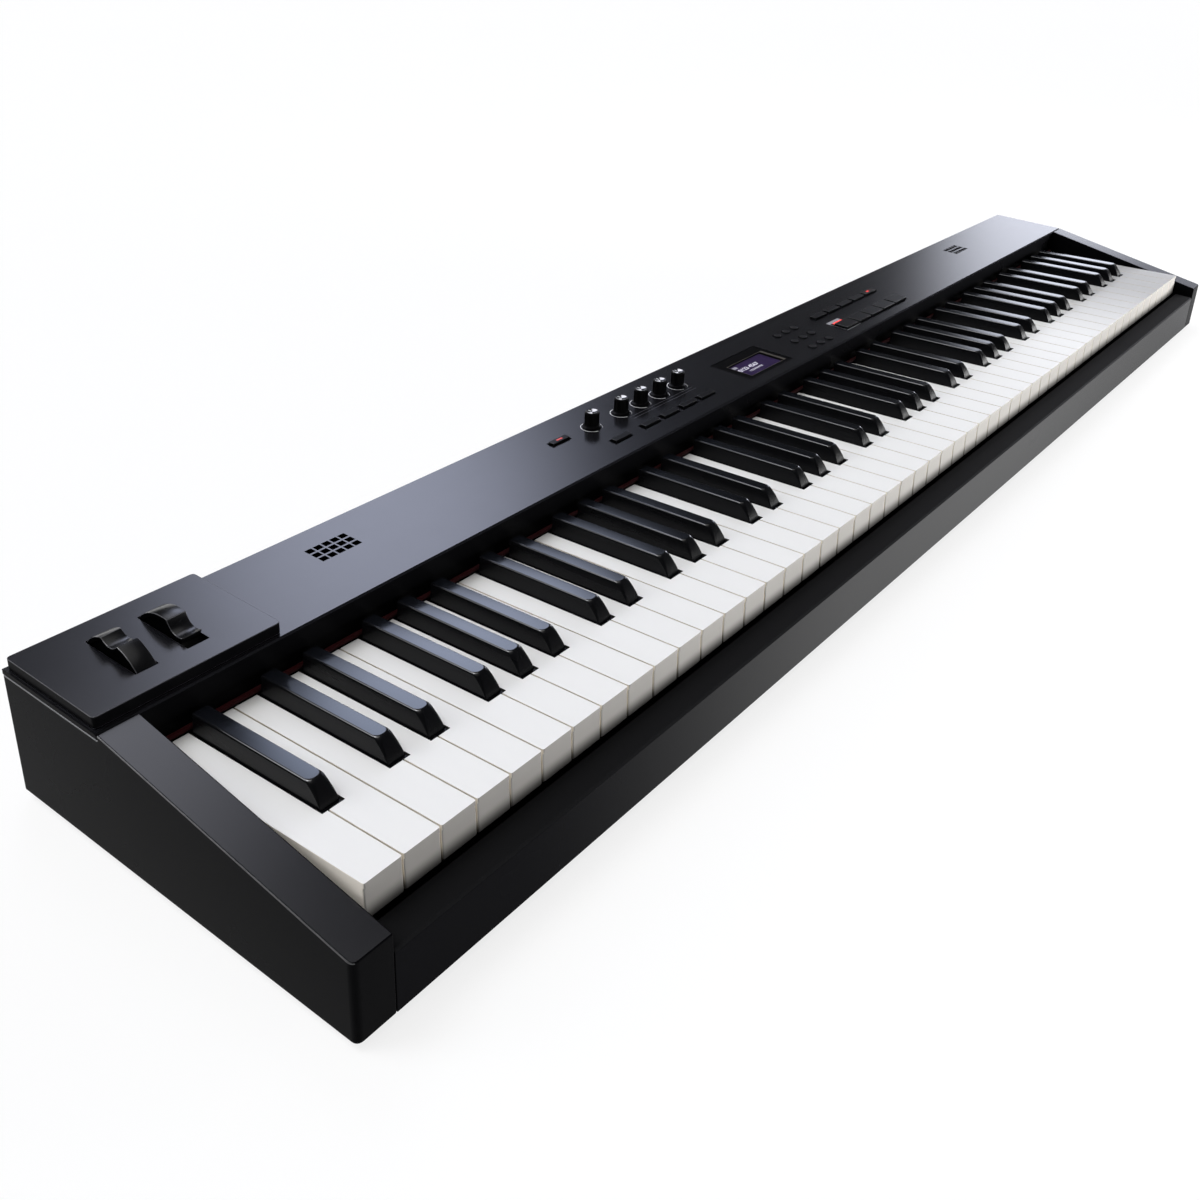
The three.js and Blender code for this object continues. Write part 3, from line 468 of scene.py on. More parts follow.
# Where the coat shines: the rail only from its left third on, the black keys' edges less towards
# their rear, and the far cheek's slope less towards its front
coatShares = {
    "railSatin": {"Rise Start": -0.55, "Rise End": -0.17, "Fall Start": -0.05, "Fall End": 0.55,
                  "Left": 0.03, "Middle": 0.69, "Right": 0.32},
    "ebonyEdge": {"Fall Start": -0.045, "Fall End": 0.03, "Right": 0.0, "Along": 1.0},
    "slopeSatin": {"Rise Start": -0.09, "Rise End": 0.045, "Left": 0.06, "Middle": 0.65,
                   "Right": 0.65, "Along": 1.0},
}
for name, values in coatShares.items():
    feed(name, {"Coat Weight": placeGroup(finishes[name].node_tree, acrossGroup, values)["Share"]})

# The black tops lean towards their rear
crown = {"Front": -0.05, "Rear": 0.03, "Lean Front": 0.0, "Lean Rear": 0.075}
ebonyTree = finishes["ebonyTop"].node_tree
setInputs(ebonyTree, ebonyTree.nodes["Bump"], {
    "Normal": placeGroup(ebonyTree, crownGroup, crown)["Normal"]})
feed("ebonyTop", {"Specular Tint": (0.78, 0.9, 1.0, 1)})

# Painted highlight: the knob tops' base colour takes two light wedges
glintWedges = {"azimuth": 10, "start": 0.15, "full": 0.75, "colour": (0.85, 0.85, 0.9)}
# Painted light on the rail's shelf: darker at the left end, lighter towards the right
shelfShading = {
    "colour": (0.009, 0.009, 0.0095),
    "across": {"Rise Start": -0.6, "Rise End": 0.6, "Left": 0.0},
}
# Painted light and shade on the white keys: fronts darker than tops and darker towards both ends, tops
# darker at the right end, warm tan sides
keyColoursAndShade = {
    "topRightShade": (0.415, 0.41, 0.403),
    "topAcross": {"Fall Start": 0.28, "Fall End": 0.56, "Right": 0.0},
    "front": (0.39, 0.375, 0.354),
    "frontEndShade": (0.228, 0.219, 0.206),
    "frontAcross": {"Rise Start": -0.6, "Rise End": -0.3, "Fall Start": -0.1, "Fall End": 0.52,
                    "Left": 0.21, "Right": 0.0},
    "side": (0.7, 0.645, 0.55),
    # Painted shade: the keys darken towards their base
    "fade": {"High": 53.5 * mm, "Low": 43.5 * mm, "Left Over": 0.12},
}


def blendAcross(tree, values, first, second):
    return mixColour(tree, placeGroup(tree, acrossGroup, values)["Share"], first, second)


def paintTopGlints():
    tree = finishes["controlTop"].node_tree
    double = math.radians(2 * glintWedges["azimuth"])
    share = placeGroup(tree, wedgeGroup, {
        "Double Cosine": math.cos(double), "Double Sine": math.sin(double),
        "Start": glintWedges["start"], "Full": glintWedges["full"]})["Share"]
    feed("controlTop", {"Base Color": mixColour(tree, share, colourOf("controlTop"), glintWedges["colour"])})


# The shelf's base colour grows lighter from left to right as painted light
def shadeShelf():
    tree = finishes["shelfSatin"].node_tree
    feed("shelfSatin", {
        "Base Color": blendAcross(tree, shelfShading["across"], shelfShading["colour"], colourOf("shelfSatin"))})


# Gives the white keys' base colour painted light and shade by facing and by place across the keyboard,
# and a painted shade towards their base
def shadeIvory():
    tree = finishes["ivory"].node_tree
    look = keyColoursAndShade
    facing = placeGroup(tree, facingShadeGroup, {
        "Top": blendAcross(tree, look["topAcross"], look["topRightShade"], colourOf("ivory")),
        "Front": blendAcross(tree, look["frontAcross"], look["frontEndShade"], look["front"]),
        "Side": (*look["side"], 1)})["Color"]
    share = placeGroup(tree, heightShadeGroup, look["fade"])["Share"]
    feed("ivory", {"Base Color": mixColour(tree, share, (0, 0, 0), facing)})


paintTopGlints()
shadeShelf()
shadeIvory()
print("finishes ready")


# Mesh helpers
def meshFrom(name, work):
    mesh = bpy.data.meshes.new(name)
    work.normal_update()
    work.to_mesh(mesh)
    work.free()
    return mesh


def freeze(piece):
    graph = bpy.context.evaluated_depsgraph_get()
    solid = bpy.data.meshes.new_from_object(piece.evaluated_get(graph))
    piece.modifiers.clear()
    piece.data = solid
    return piece


def weighted(piece, keepSharp=False):
    modifier = piece.modifiers.new("weighted", "WEIGHTED_NORMAL")
    modifier.weight = 100
    modifier.keep_sharp = keepSharp
    return freeze(piece)


def smoothed(piece, angle):
    piece.data.shade_smooth()
    piece.data.set_sharp_from_angle(angle=math.radians(angle))
    return piece


# Edges sharper than this are rounded
sharpAngle = 28


def bevelled(piece, width, segments=2, edge=None):
    if edge:
        piece.data.materials.append(finishes[edge])
    modifier = piece.modifiers.new("edges", "BEVEL")
    modifier.width = width * mm
    modifier.segments = segments
    modifier.limit_method = "ANGLE"
    modifier.angle_limit = math.radians(sharpAngle)
    modifier.miter_outer = "MITER_ARC"
    modifier.material = 1 if edge else 0
    piece.data.shade_smooth()
    return weighted(piece)


def cutAt(work, point, normal, **options):
    return bmesh.ops.bisect_plane(work, geom=[*work.verts, *work.edges, *work.faces],
                                  plane_co=point, plane_no=normal, **options)


# Faces between neighbouring rings of points. A ring of one point closes to a tip.
def loft(work, rings, capped=True):
    for first, second in zip(rings, rings[1:]):
        count = max(len(first), len(second))
        for i in range(count):
            j = (i + 1) % count
            near = [first[i], first[j]] if len(first) > 1 else first
            far = [second[j], second[i]] if len(second) > 1 else second
            work.faces.new([*near, *far])
    if capped:
        work.faces.new(rings[-1])
        work.faces.new(rings[0][::-1])
    bmesh.ops.recalc_face_normals(work, faces=work.faces)
    return work


# A turned solid. Its profile has a radius in millimetres and a height in metres at each point.
def turnedMesh(name, profile, sides, centre=(0, 0), closed=False):
    work = bmesh.new()
    rings = []
    for radius, z in profile:
        turns = [2 * math.pi * i / sides for i in range(sides if radius else 1)]
        rings.append([
            work.verts.new((centre[0] + radius * mm * math.cos(turn),
                            centre[1] + radius * mm * math.sin(turn), z))
            for turn in turns
        ])
    loft(work, [*rings, rings[0]] if closed else rings, capped=False)
    return meshFrom(name, work)


def boxMesh(name, *limits):
    work = bmesh.new()
    bmesh.ops.create_cube(work, size=1)
    middle = Vector([(low + high) / 2 for low, high in limits])
    size = [high - low for low, high in limits]
    work.transform(Matrix.Translation(middle) @ Matrix.Diagonal((*size, 1)))
    return meshFrom(name, work)


# A merged copy of a node. Cuts through the middle of each hole keep its flat faces simple.
def meshOfNode(node, cutsX=()):
    work = bmesh.new()
    work.from_mesh(frame["nodes"][node].data)
    bmesh.ops.remove_doubles(work, verts=work.verts, dist=0.002 * mm)
    for x in cutsX:
        for item in cutAt(work, (x * mm, 0, 0), (1, 0, 0))["geom_cut"]:
            if isinstance(item, bmesh.types.BMEdge):
                item.seam = True
    bmesh.ops.dissolve_limit(
        work, angle_limit=math.radians(1), verts=work.verts, edges=work.edges, delimit={"SEAM"})
    return work


def dress(piece, node, replace=True):
    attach(piece, bodyOf[node])
    if replace:
        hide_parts(node)


def addTrim(name, mesh, finish, node):
    dress(addPiece(name, mesh, finish), node, replace=False)


# The faces that pass a test take another finish
def paint(piece, finish, test):
    piece.data.materials.append(finishes[finish])
    for face in piece.data.polygons:
        if test(face):
            face.material_index = len(piece.data.materials) - 1


# One tree puts copies of a piece on places and gives them a finish. The other sets upright ribs
# round a cylinder.
def spreadOut(tree, points, item, finish):
    spread = addNode(tree, "GeometryNodeInstanceOnPoints", {"Points": points, "Instance": item})
    real = addNode(tree, "GeometryNodeRealizeInstances", {"Geometry": spread["Instances"]})
    coat = addNode(tree, "GeometryNodeSetMaterial", {"Geometry": real["Geometry"], "Material": finish})
    return {"Geometry": coat["Geometry"]}


def buildCopies(tree, given):
    item = addNode(tree, "GeometryNodeObjectInfo", {"Object": given["Piece"]})["Geometry"]
    return spreadOut(tree, given["Geometry"], item, given["Finish"])


def buildRibs(tree, given):
    circle = addNode(tree, "GeometryNodeMeshCircle", {
        "Vertices": given["Rib Count"], "Radius": given["Radius"]})["Mesh"]
    rib = addNode(tree, "GeometryNodeMeshCylinder", {
        "Vertices": 8, "Radius": given["Rib Width"], "Depth": given["Rib Height"]})["Mesh"]
    return spreadOut(tree, circle, rib, given["Finish"])


copiesTree = makeGroup(
    "copiesOnPlaces", {"Geometry": "Geometry", "Piece": "Object", "Finish": "Material"},
    {"Geometry": "Geometry"}, buildCopies, "GeometryNodeTree")
ribTree = makeGroup(
    "knobRibs",
    {"Geometry": "Geometry", "Rib Count": 30, "Radius": 0.005, "Rib Height": 0.01,
     "Rib Width": 0.0005, "Finish": "Material"},
    {"Geometry": "Geometry"}, buildRibs, "GeometryNodeTree")


def runTree(piece, tree, values):
    modifier = piece.modifiers.new("nodes", "NODES")
    modifier.node_group = tree
    for item in tree.interface.items_tree:
        if item.in_out == "INPUT" and item.name in values:
            modifier[item.identifier] = values[item.name]
    return freeze(piece)


def copiesOf(name, mesh, finish, places, transform=None):
    master = addPiece(f"{name}_master", mesh)
    work = bmesh.new()
    for place in places:
        work.verts.new(place)
    piece = addPiece(name, meshFrom(name, work))
    runTree(piece, copiesTree, {"Piece": master, "Finish": finishes[finish]})
    bpy.data.objects.remove(master)
    if transform:
        piece.data.transform(transform)
    return piece


# Casework keeps its own shape, with rounded edges in a lighter, shinier finish that paints a thin
# highlight along them. Each piece has a finish for its top, its sides and its edges, then the width
# and steps of its edges.
edgeRounding = {
    "left_cheek": ("panelSatin", "caseSatin", "caseEdge", 0.7, 3),
    "right_cheek": ("slopeSatin", "caseSatin", None, 0.7, 3),
    "front_rail": ("shelfSatin", "railSatin", None, 0.4, 2),
    "rear_panel": ("caseSatin", "caseSatin", "caseEdge", 0.4, 2),
    # The top panel's rounded edges take the painted-shade black
    "top_panel": ("panelSatin", "caseSatin", "gapBlack", 0.25, 2),
    "wheel_cover": ("panelSatin", "caseSatin", "panelEdge", 0.35, 2),
    "bottom_case": ("framePlastic", "framePlastic", None, 0.4, 2),
}
# Buttons: painted shade on their sides and a painted highlight on their edges
for buttons, width in (("power_button", 0.2), ("slim_buttons", 0.2), ("round_buttons", 0.2),
                       ("row_buttons", 0.2), ("pad_buttons", 0.25)):
    edgeRounding[buttons] = ("buttonBlack", "buttonSide", "buttonEdge", width, 2)
# Caps of long buttons stand a little prouder of the panel, and the rear plate is set in for its
# screws
capLift = {"power_button": 0.8, "slim_buttons": 0.9, "row_buttons": 0.9, "pad_buttons": 1.1}
rearInset = 0.4
wheelMiddles = [-597.12, -567.42]
grilleMiddles = [side * 449.3 + column * 6.25 for side in (-1, 1) for column in range(-2, 3)]
knobMiddles = [-207.8, -172.4, -147.7, -123.0, -98.3]
padMiddles = [134.3 + 25 * i for i in range(5)]
roundMiddles = [59.7, 74.4, 89.1]
powerMiddle = -243.1
displayMiddle = -10.5
socketMiddles = [-290 + 24 * i for i in range(8)]
# A part of a face's normal counts as small below the first value and as large above the second
smallShare, largeShare = 0.3, 0.6
holeMiddles = {
    "top_panel": [*wheelMiddles, *grilleMiddles, *knobMiddles, *padMiddles, powerMiddle,
                  displayMiddle, *roundMiddles],
    "wheel_cover": wheelMiddles,
    "rear_panel": socketMiddles,
}


def inHole(face, low, high, margin=1.5 * mm):
    inside = all(low[k] + margin < face.center[k] < high[k] - margin for k in (0, 1))
    return inside and abs(face.normal.z) < largeShare


def moveSkin(piece, node):
    for vert in piece.data.vertices:
        if node in capLift and vert.co.z > panelTop:
            vert.co.z += capLift[node] * mm
        if node == "rear_panel" and vert.co.y > panelHigh.y - 1.5 * mm:
            vert.co.y -= rearInset * mm


def dressCase(node, top, sides, edge, width, segments):
    mesh = meshFrom(node, meshOfNode(node, holeMiddles.get(node, ())))
    piece = addPiece(f"{node}_skin", mesh, sides)
    bevelled(piece, width, segments, edge)
    if top != sides:
        paint(piece, top, lambda face: face.material_index == 0 and face.normal.z > 0.5)
    # The painted edge highlight stays only on the left cheek's outer edges and off the wheel cover's
    # upright edges
    for face in piece.data.polygons:
        upright = node == "wheel_cover" and abs(face.normal.z) < smallShare
        inner = node == "left_cheek" and face.normal.x > -smallShare
        if face.material_index == 1 and (upright or inner):
            face.material_index = 0
    # The walls of openings are painted dull black as shade
    if node in holeMiddles:
        box = boxOf(node)
        paint(piece, "gapBlack", lambda face: inHole(face, *box))
    moveSkin(piece, node)
    dress(piece, node)


for node, values in edgeRounding.items():
    dressCase(node, *values)
print("casework ready")

# Felt: a low strip with a soft rounded top edge that ripples by two waves
feltSizes = {"height": 2.7, "edge": 0.7, "steps": 180, "ripple": 0.12, "waves": (2.1, 0.37)}


def dressFelt():
    size = feltSizes
    low, high = boxOf("felt_strip")
    top = low.z + size["height"] * mm
    edge = size["edge"] * mm
    section = [
        (high.y, low.z), (high.y, top), (low.y + edge, top), (low.y + edge * 0.3, top - edge * 0.3),
        (low.y, top - edge), (low.y, low.z + edge), (low.y + edge, low.z),
    ]
    work = bmesh.new()
    rings = []
    for i in range(size["steps"] + 1):
        x = low.x + (high.x - low.x) * i / size["steps"]
        wave = size["ripple"] * mm * math.prod(math.sin(i * turn) for turn in size["waves"])
        rings.append([
            work.verts.new((x, y, z + (wave if z > low.z + edge * 2 else 0))) for y, z in section])
    piece = addPiece("felt_strip_skin", meshFrom("felt", loft(work, rings)), "feltRed")
    dress(smoothed(piece, 40), "felt_strip")


dressFelt()

# Inner pieces keep their nodes
innerFinishes = {
    "framePlastic": ("key_frame", "display_module"),
    "boardGreen": ("main_board", "panel_board", "jack_board"),
    "coneBlack": ("speaker_left", "speaker_right"),
    "bracketSteel": ("wheel_bracket",),
}
for finish, nodes in innerFinishes.items():
    for node in nodes:
        frame["nodes"][node].data.materials.clear()
        frame["nodes"][node].data.materials.append(finishes[finish])


# Keys: built in a level frame at the left front corner of the keyboard, then tilted
keySizes = {
    "pitch": 23.55,
    "gap": 0.9,
    "whiteCount": 52,
    "whiteDepth": 20.7,
    "plate": 3.0,
    "plateStep": 0.3,
    "lip": 0.5,
    "corner": 1.1,
    "cornerSteps": 3,
    "edge": 0.35,
    "jointReach": 1.5,
    "sharpShift": {"A": 0.136, "C": -0.085, "D": 0.085, "F": -0.136, "G": 0},
}
singleOctave = 4
keyTilt = math.radians(joints["white_key_c_4_press"]["range_deg"][1])
firstLow, firstHigh = boxOf("white_keys_octave_0")
keyOrigin = Vector((
    firstLow.x - keySizes["gap"] / 2 * mm,
    firstLow.y + keySizes["whiteDepth"] * mm * math.sin(keyTilt),
    firstHigh.z,
))
keyFrame = Matrix.Translation(keyOrigin) @ Matrix.Rotation(-keyTilt, 4, "X")
toKeys = keyFrame.inverted()


# The upright edges at a white key's front
def roundCorners(work):
    corners = []
    for edge in work.edges:
        apart = [abs(part) for part in edge.verts[0].co - edge.verts[1].co]
        inFront = all(vert.co.y < 0.05 * mm for vert in edge.verts)
        if inFront and apart[2] > 2 * mm and apart[0] < 0.1 * mm:
            corners.append(edge)
    bmesh.ops.bevel(work, geom=corners, offset=keySizes["corner"] * mm, offset_type="OFFSET",
                    segments=keySizes["cornerSteps"], profile=0.5, affect="EDGES", clamp_overlap=True)


def awayFromJoint(x):
    share = (x - keyOrigin.x) / mm / keySizes["pitch"]
    return abs(share - round(share)) * keySizes["pitch"]


def isSide(face):
    return abs(face.normal.x) > 0.9


# Only the outermost sides show, in a lighter side colour as painted light. The sides in the joints are
# dark, and the walls of the cut-outs take a painted shade.
def dressWhite(node):
    size = keySizes
    work = meshOfNode(node)
    work.transform(toKeys)
    roundCorners(work)
    for drop in (size["plate"], size["plate"] + size["plateStep"]):
        cutAt(work, (0, 0, -drop * mm), (0, 0, 1))
    low = -(size["plate"] + size["plateStep"] / 2) * mm
    for vert in work.verts:
        share = 1 - vert.co.y / (size["corner"] * mm)
        if share > 0.01 and vert.co.z < low:
            vert.co.y += share * size["lip"] * mm
    work.transform(keyFrame)
    piece = addPiece(f"{node}_skin", meshFrom(node, work), "ivory")
    bevelled(piece, size["edge"])
    outer = -keyOrigin.x - size["gap"] * mm
    paint(piece, "ivorySide", lambda face: isSide(face) and abs(face.center.x) > outer)
    paint(piece, "ivoryShade", lambda face: isSide(face) and face.material_index == 0
          and awayFromJoint(face.center.x) > size["jointReach"])
    dress(piece, node)


for node in nodesWith("white_"):
    dressWhite(node)
print("white keys ready")

# A black key's cap: rings of a rectangle whose front corners grow round towards the top
ebonySizes = {
    "front": 51.1,
    "rear": 149.3,
    "halfWidth": 5.8,
    "taperShare": 0.145,
    "height": 12.0,
    "setBack": 1.6,
    "slope": 5.2,
    "edge": 1.5,
    "edgeFront": 3.4,
    "edgeSide": 1.0,
    "cornerLow": 0.5,
    "cornerHigh": 3.4,
    "skirt": 1.2,
    "cornerSteps": 7,
    "sideSteps": 5,
    "edgeSteps": 4,
    "bodyTop": -1.0,
    "topDepth": 0.05,
    "edgeDepth": 0.6,
}
quarter = math.radians(90)


def ebonyRing(work, half, front, corner, z):
    steps = ebonySizes["cornerSteps"]
    points = []
    for side in (-1, 1):
        centre = Vector((side * (half - corner), front + corner))
        for step in range(steps + 1):
            turn = quarter * (step if side < 0 else steps - step) / steps
            across = side * corner * math.cos(turn)
            points.append((centre.x + across, centre.y - corner * math.sin(turn)))
    points += [(half, ebonySizes["rear"]), (-half, ebonySizes["rear"])]
    return [work.verts.new((x * mm, y * mm, z * mm)) for x, y in points]


# How far a quarter circle has fallen in at a share of its height
def fallenIn(share):
    return 1 - math.sqrt(max(0, 1 - share ** 2))


# Half width, front end, corner radius and height of each ring. The front falls in a full curve.
def ebonyLevels():
    size = ebonySizes
    shoulder = size["height"] - size["edge"]
    front = size["front"] + size["setBack"]
    heights = [shoulder * step / size["sideSteps"] for step in range(1, size["sideSteps"])]
    for step in range(size["edgeSteps"] + 1):
        heights.append(shoulder + size["edge"] * math.sin(quarter * step / size["edgeSteps"]))
    levels = [(size["halfWidth"], front, size["cornerLow"], z) for z in (-size["skirt"], 0)]
    for z in heights:
        share = z / size["height"]
        over = max(0, (z - shoulder) / size["edge"])
        half = size["halfWidth"] * (1 - size["taperShare"] * share) - size["edgeSide"] * fallenIn(over)
        end = front + size["slope"] * share + size["edgeFront"] * fallenIn(share)
        corner = size["cornerLow"] + (size["cornerHigh"] - size["cornerLow"]) * share ** 1.5
        levels.append((half, end, corner, z))
    return levels


def ebonyMesh():
    work = bmesh.new()
    return meshFrom("ebonyCap", loft(work, [ebonyRing(work, *level) for level in ebonyLevels()]))


# The middles of the black keys of each node. The keyboard starts on A, and an octave on C.
def sharpMiddles():
    letters = "ABCDEFG"
    beforeFirstC = letters.index("C")
    middles = {}
    for index in range(keySizes["whiteCount"] - 1):
        letter = letters[index % len(letters)]
        if letter in keySizes["sharpShift"]:
            octave = (index + len(letters) - beforeFirstC) // len(letters)
            middle = (index + 1 + keySizes["sharpShift"][letter]) * keySizes["pitch"]
            single = f"black_key_{letter.lower()}_sharp_{singleOctave}"
            node = single if octave == singleOctave else f"black_keys_octave_{octave}"
            middles.setdefault(node, []).append(middle)
    return middles


def dressBlack(node, middles, cap):
    work = meshOfNode(node)
    work.transform(toKeys)
    cutAt(work, (0, 0, ebonySizes["bodyTop"] * mm), (0, 0, 1), clear_outer=True)
    bmesh.ops.holes_fill(work, edges=[edge for edge in work.edges if edge.is_boundary])
    caps = copiesOf("caps", cap, "ebony", [(middle * mm, 0, 0) for middle in middles])
    work.from_mesh(caps.data)
    bpy.data.objects.remove(caps)
    work.transform(keyFrame)
    piece = addPiece(f"{node}_skin", meshFrom(node, work), "ebony")
    top = (ebonySizes["height"] - ebonySizes["topDepth"]) * mm
    edge = (ebonySizes["height"] - ebonySizes["edgeDepth"]) * mm
    paint(piece, "ebonyTop", lambda face: (toKeys @ face.center).z > top)
    # The rounded side edges of each cap take a lighter, glossier finish as a painted highlight
    paint(piece, "ebonyEdge", lambda face: edge < (toKeys @ face.center).z <= top
          and abs(face.normal.x) > 0.2)
    dress(weighted(smoothed(piece, 40), keepSharp=True), node)


ebonyCap = ebonyMesh()
for node, middles in sharpMiddles().items():
    dressBlack(node, middles, ebonyCap)
print("black keys ready")


# Wheels: a rim with a notch between two crisp edges, shiny chamfers and sunk sides. The strips
# round the section that are bright, in a lighter finish as a painted highlight, are counted from its
# left end.
wheelSizes = {
    "radius": 28.0,
    "width": 11.6,
    "bore": 2.6,
    "edge": 0.34,
    "rimWall": 2.4,
    "sunk": 1.0,
    "stepAngle": 1.5,
    "crest": 0.7,
    "dropOver": 2.5,
    "dropEnd": -150,
    "dropBack": 20,
    "bright": (3, 4, 6, 7),
    "brightRim": 5,
}
notches = {
    "pitch_wheel": {"edges": (-13.5, 15.5), "depth": 4.2, "rise": 0.3, "drop": 0.0},
    "modulation_wheel": {"edges": (-38, -9), "depth": 4.6, "rise": 0.25, "drop": 5.0},
}


def shareOf(value):
    return min(1, max(0, value))


def rimRadius(notch, angle):
    size = wheelSizes
    first, last = notch["edges"]
    share = (2 * angle - first - last) / (last - first)
    full = size["radius"] + notch["rise"] * max(0, math.cos(math.radians(angle)))
    full -= (notch["drop"] * shareOf((first - angle) / size["dropOver"])
             * shareOf((angle - size["dropEnd"]) / size["dropBack"]))
    return full - notch["depth"] * max(0, 1 - share ** 2) ** 0.75


# Angles of the rings, with a pair close together at each edge of the notch
def ringAngles(notch):
    crest, stepAngle = wheelSizes["crest"], wheelSizes["stepAngle"]
    steps = [step * stepAngle - 180 for step in range(round(360 / stepAngle))]
    angles = [angle for angle in steps if all(abs(angle - edge) > crest for edge in notch["edges"])]
    angles += [edge + side * crest / 2 for edge in notch["edges"] for side in (-1, 1)]
    return sorted(angles)


def wheelSection(outer):
    size = wheelSizes
    half, edge, sunk = size["width"] / 2, size["edge"], size["sunk"]
    wall = outer - size["rimWall"]
    right = [
        (half - edge, outer), (half - edge * 0.3, outer - edge * 0.3), (half, outer - edge),
        (half, wall), (half - sunk, wall - sunk), (half - sunk, size["bore"]),
    ]
    return [(-x, r) for x, r in reversed(right)] + right


def dressWheel(node, notch):
    low, high = boxOf(node)
    place = joints[f"{node}_turn"]["pos_m"]
    hub = Vector(((low.x + high.x) / 2, place[1], place[2]))
    work = bmesh.new()
    angles = ringAngles(notch)
    rings = []
    for angle in angles:
        turn = math.radians(angle)
        rings.append([
            work.verts.new(hub + Vector((x, r * math.sin(turn), r * math.cos(turn))) * mm)
            for x, r in wheelSection(rimRadius(notch, angle))
        ])
    bright = []
    for i, angle in enumerate(angles):
        narrow = abs(angles[(i + 1) % len(angles)] - angle) < wheelSizes["crest"] * 1.1
        behind = notch["drop"] and angle < notch["edges"][0]
        shining = wheelSizes["bright"] + ((wheelSizes["brightRim"],) if narrow else ())
        bright += [not behind and j in shining for j in range(len(rings[0]))]
    loft(work, [*rings, rings[0]], capped=False)
    piece = addPiece(f"{node}_skin", meshFrom(node, work), "wheelBlack")
    # Painted highlight on the bright strips, painted shade on the sides
    paint(piece, "wheelEdge", lambda face: bright[face.index])
    paint(piece, "gapBlack", lambda face: not bright[face.index] and abs(face.normal.x) > largeShare)
    dress(smoothed(piece, 30), node)


for node, notch in notches.items():
    dressWheel(node, notch)
print("wheels ready")

# Knobs: a plain skirt, a ribbed body, and a dished glossy top with a pointer
knobSizes = {
    "skirt": 6.95,
    "skirtHeight": 1.1,
    "body": 5.35,
    "top": 5.1,
    "height": 13.0,
    "stem": 3.0,
    "clear": 0.3,
    "ribCount": 30,
    "ribWidth": 0.5,
    "ribStart": 2.4,
    "ribEnd": 1.2,
    "dish": 0.5,
    "sides": 60,
    "pointer": (0.8, 2.6, 0.5),
    "pointerStart": 1.2,
    "pointerSunk": 0.4,
}


def dressKnob(node):
    size = knobSizes
    low, high = boxOf(node)
    centre = ((low.x + high.x) / 2, (low.y + high.y) / 2)
    base = panelTop + size["clear"] * mm
    top = panelTop + size["height"] * mm
    skirt, body, cap = size["skirt"], size["body"], size["top"]
    # Radius, with a height above the base or below the top
    rising = [(skirt - 0.4, 0), (skirt, 0.3), (skirt, 1.0), (skirt - 0.4, size["skirtHeight"]),
              (body + 0.2, 1.6), (body, 2.2)]
    falling = [(cap, 0.8), (cap - 0.15, 0.3), (cap - 0.5, 0), (cap - 0.9, 0.05),
               (cap - 1.3, size["dish"] - 0.1), (1.5, size["dish"] + 0.1), (0, size["dish"] + 0.12)]
    profile = [(0, low.z), (size["stem"], low.z), (size["stem"], base)]
    profile += [(radius, base + z * mm) for radius, z in rising]
    profile += [(radius, top - z * mm) for radius, z in falling]
    skin = addPiece(f"{node}_skin", turnedMesh(node, profile, size["sides"], centre), "controlBlack")
    smoothed(skin, 40)
    paint(skin, "controlTop", lambda face: face.center.z > top - size["dish"] * 1.5 * mm
          and math.dist(face.center.xy, centre) < (cap - 0.5) * mm)
    dress(skin, node)
    ribs = addPiece(f"{node}_ribs", bpy.data.meshes.new("ribs"))
    start = base + size["ribStart"] * mm
    length = top - size["ribEnd"] * mm - start
    runTree(ribs, ribTree, {
        "Rib Count": size["ribCount"], "Radius": (body - 0.05) * mm, "Rib Height": length,
        "Rib Width": size["ribWidth"] / 2 * mm, "Finish": finishes["controlBlack"]})
    ribs.data.transform(Matrix.Translation((*centre, start + length / 2)))
    dress(smoothed(ribs, 40), node, replace=False)
    width, length, thickness = (part * mm for part in size["pointer"])
    start, middle = centre[1] + size["pointerStart"] * mm, top - size["pointerSunk"] * mm
    mark = addPiece(f"{node}_pointer", boxMesh(
        "pointer", (centre[0] - width / 2, centre[0] + width / 2), (start, start + length),
        (middle - thickness / 2, middle + thickness / 2)), "printWhite")
    dress(bevelled(mark, 0.1, 1), node, replace=False)


for node in nodesWith("knob"):
    dressKnob(node)
print("knobs ready")

# Display: a gloss black frame round a clear glass, and the lit screen under it
displayLook = {
    "margin": 3.0,
    "screenLift": 0.05,
    "screenDepth": 0.4,
    "border": 0.5,
    "borderRight": 4.0,
    "borderGap": 0.7,
    "block": {"x": 2.0, "y": 2.0, "width": 7.0, "height": 3.6},
    "borderSunk": 0.1,
    "borderRise": 0.03,
    "figureDepth": 0.05,
    "figureWeight": 0.08,
    "lines": [
        {"figures": "0123 4567", "x": 3.5, "y": 12.5, "size": 6.6},
        {"figures": "1 2 3 4 5 6 7 8", "x": 11.0, "y": 17.3, "size": 3.2},
    ],
}


# A flat band between two rows of points, closed to a ring or with two ends
def bandMesh(name, outer, inner, z, closed=True):
    work = bmesh.new()
    rings = [
        [work.verts.new((*point, height)) for point, height in zip(
            (far, far, near, near), (z[0], z[1], z[1], z[0]))]
        for far, near in zip(outer, inner)
    ]
    loft(work, [*rings, rings[0]] if closed else rings, capped=not closed)
    return meshFrom(name, work)


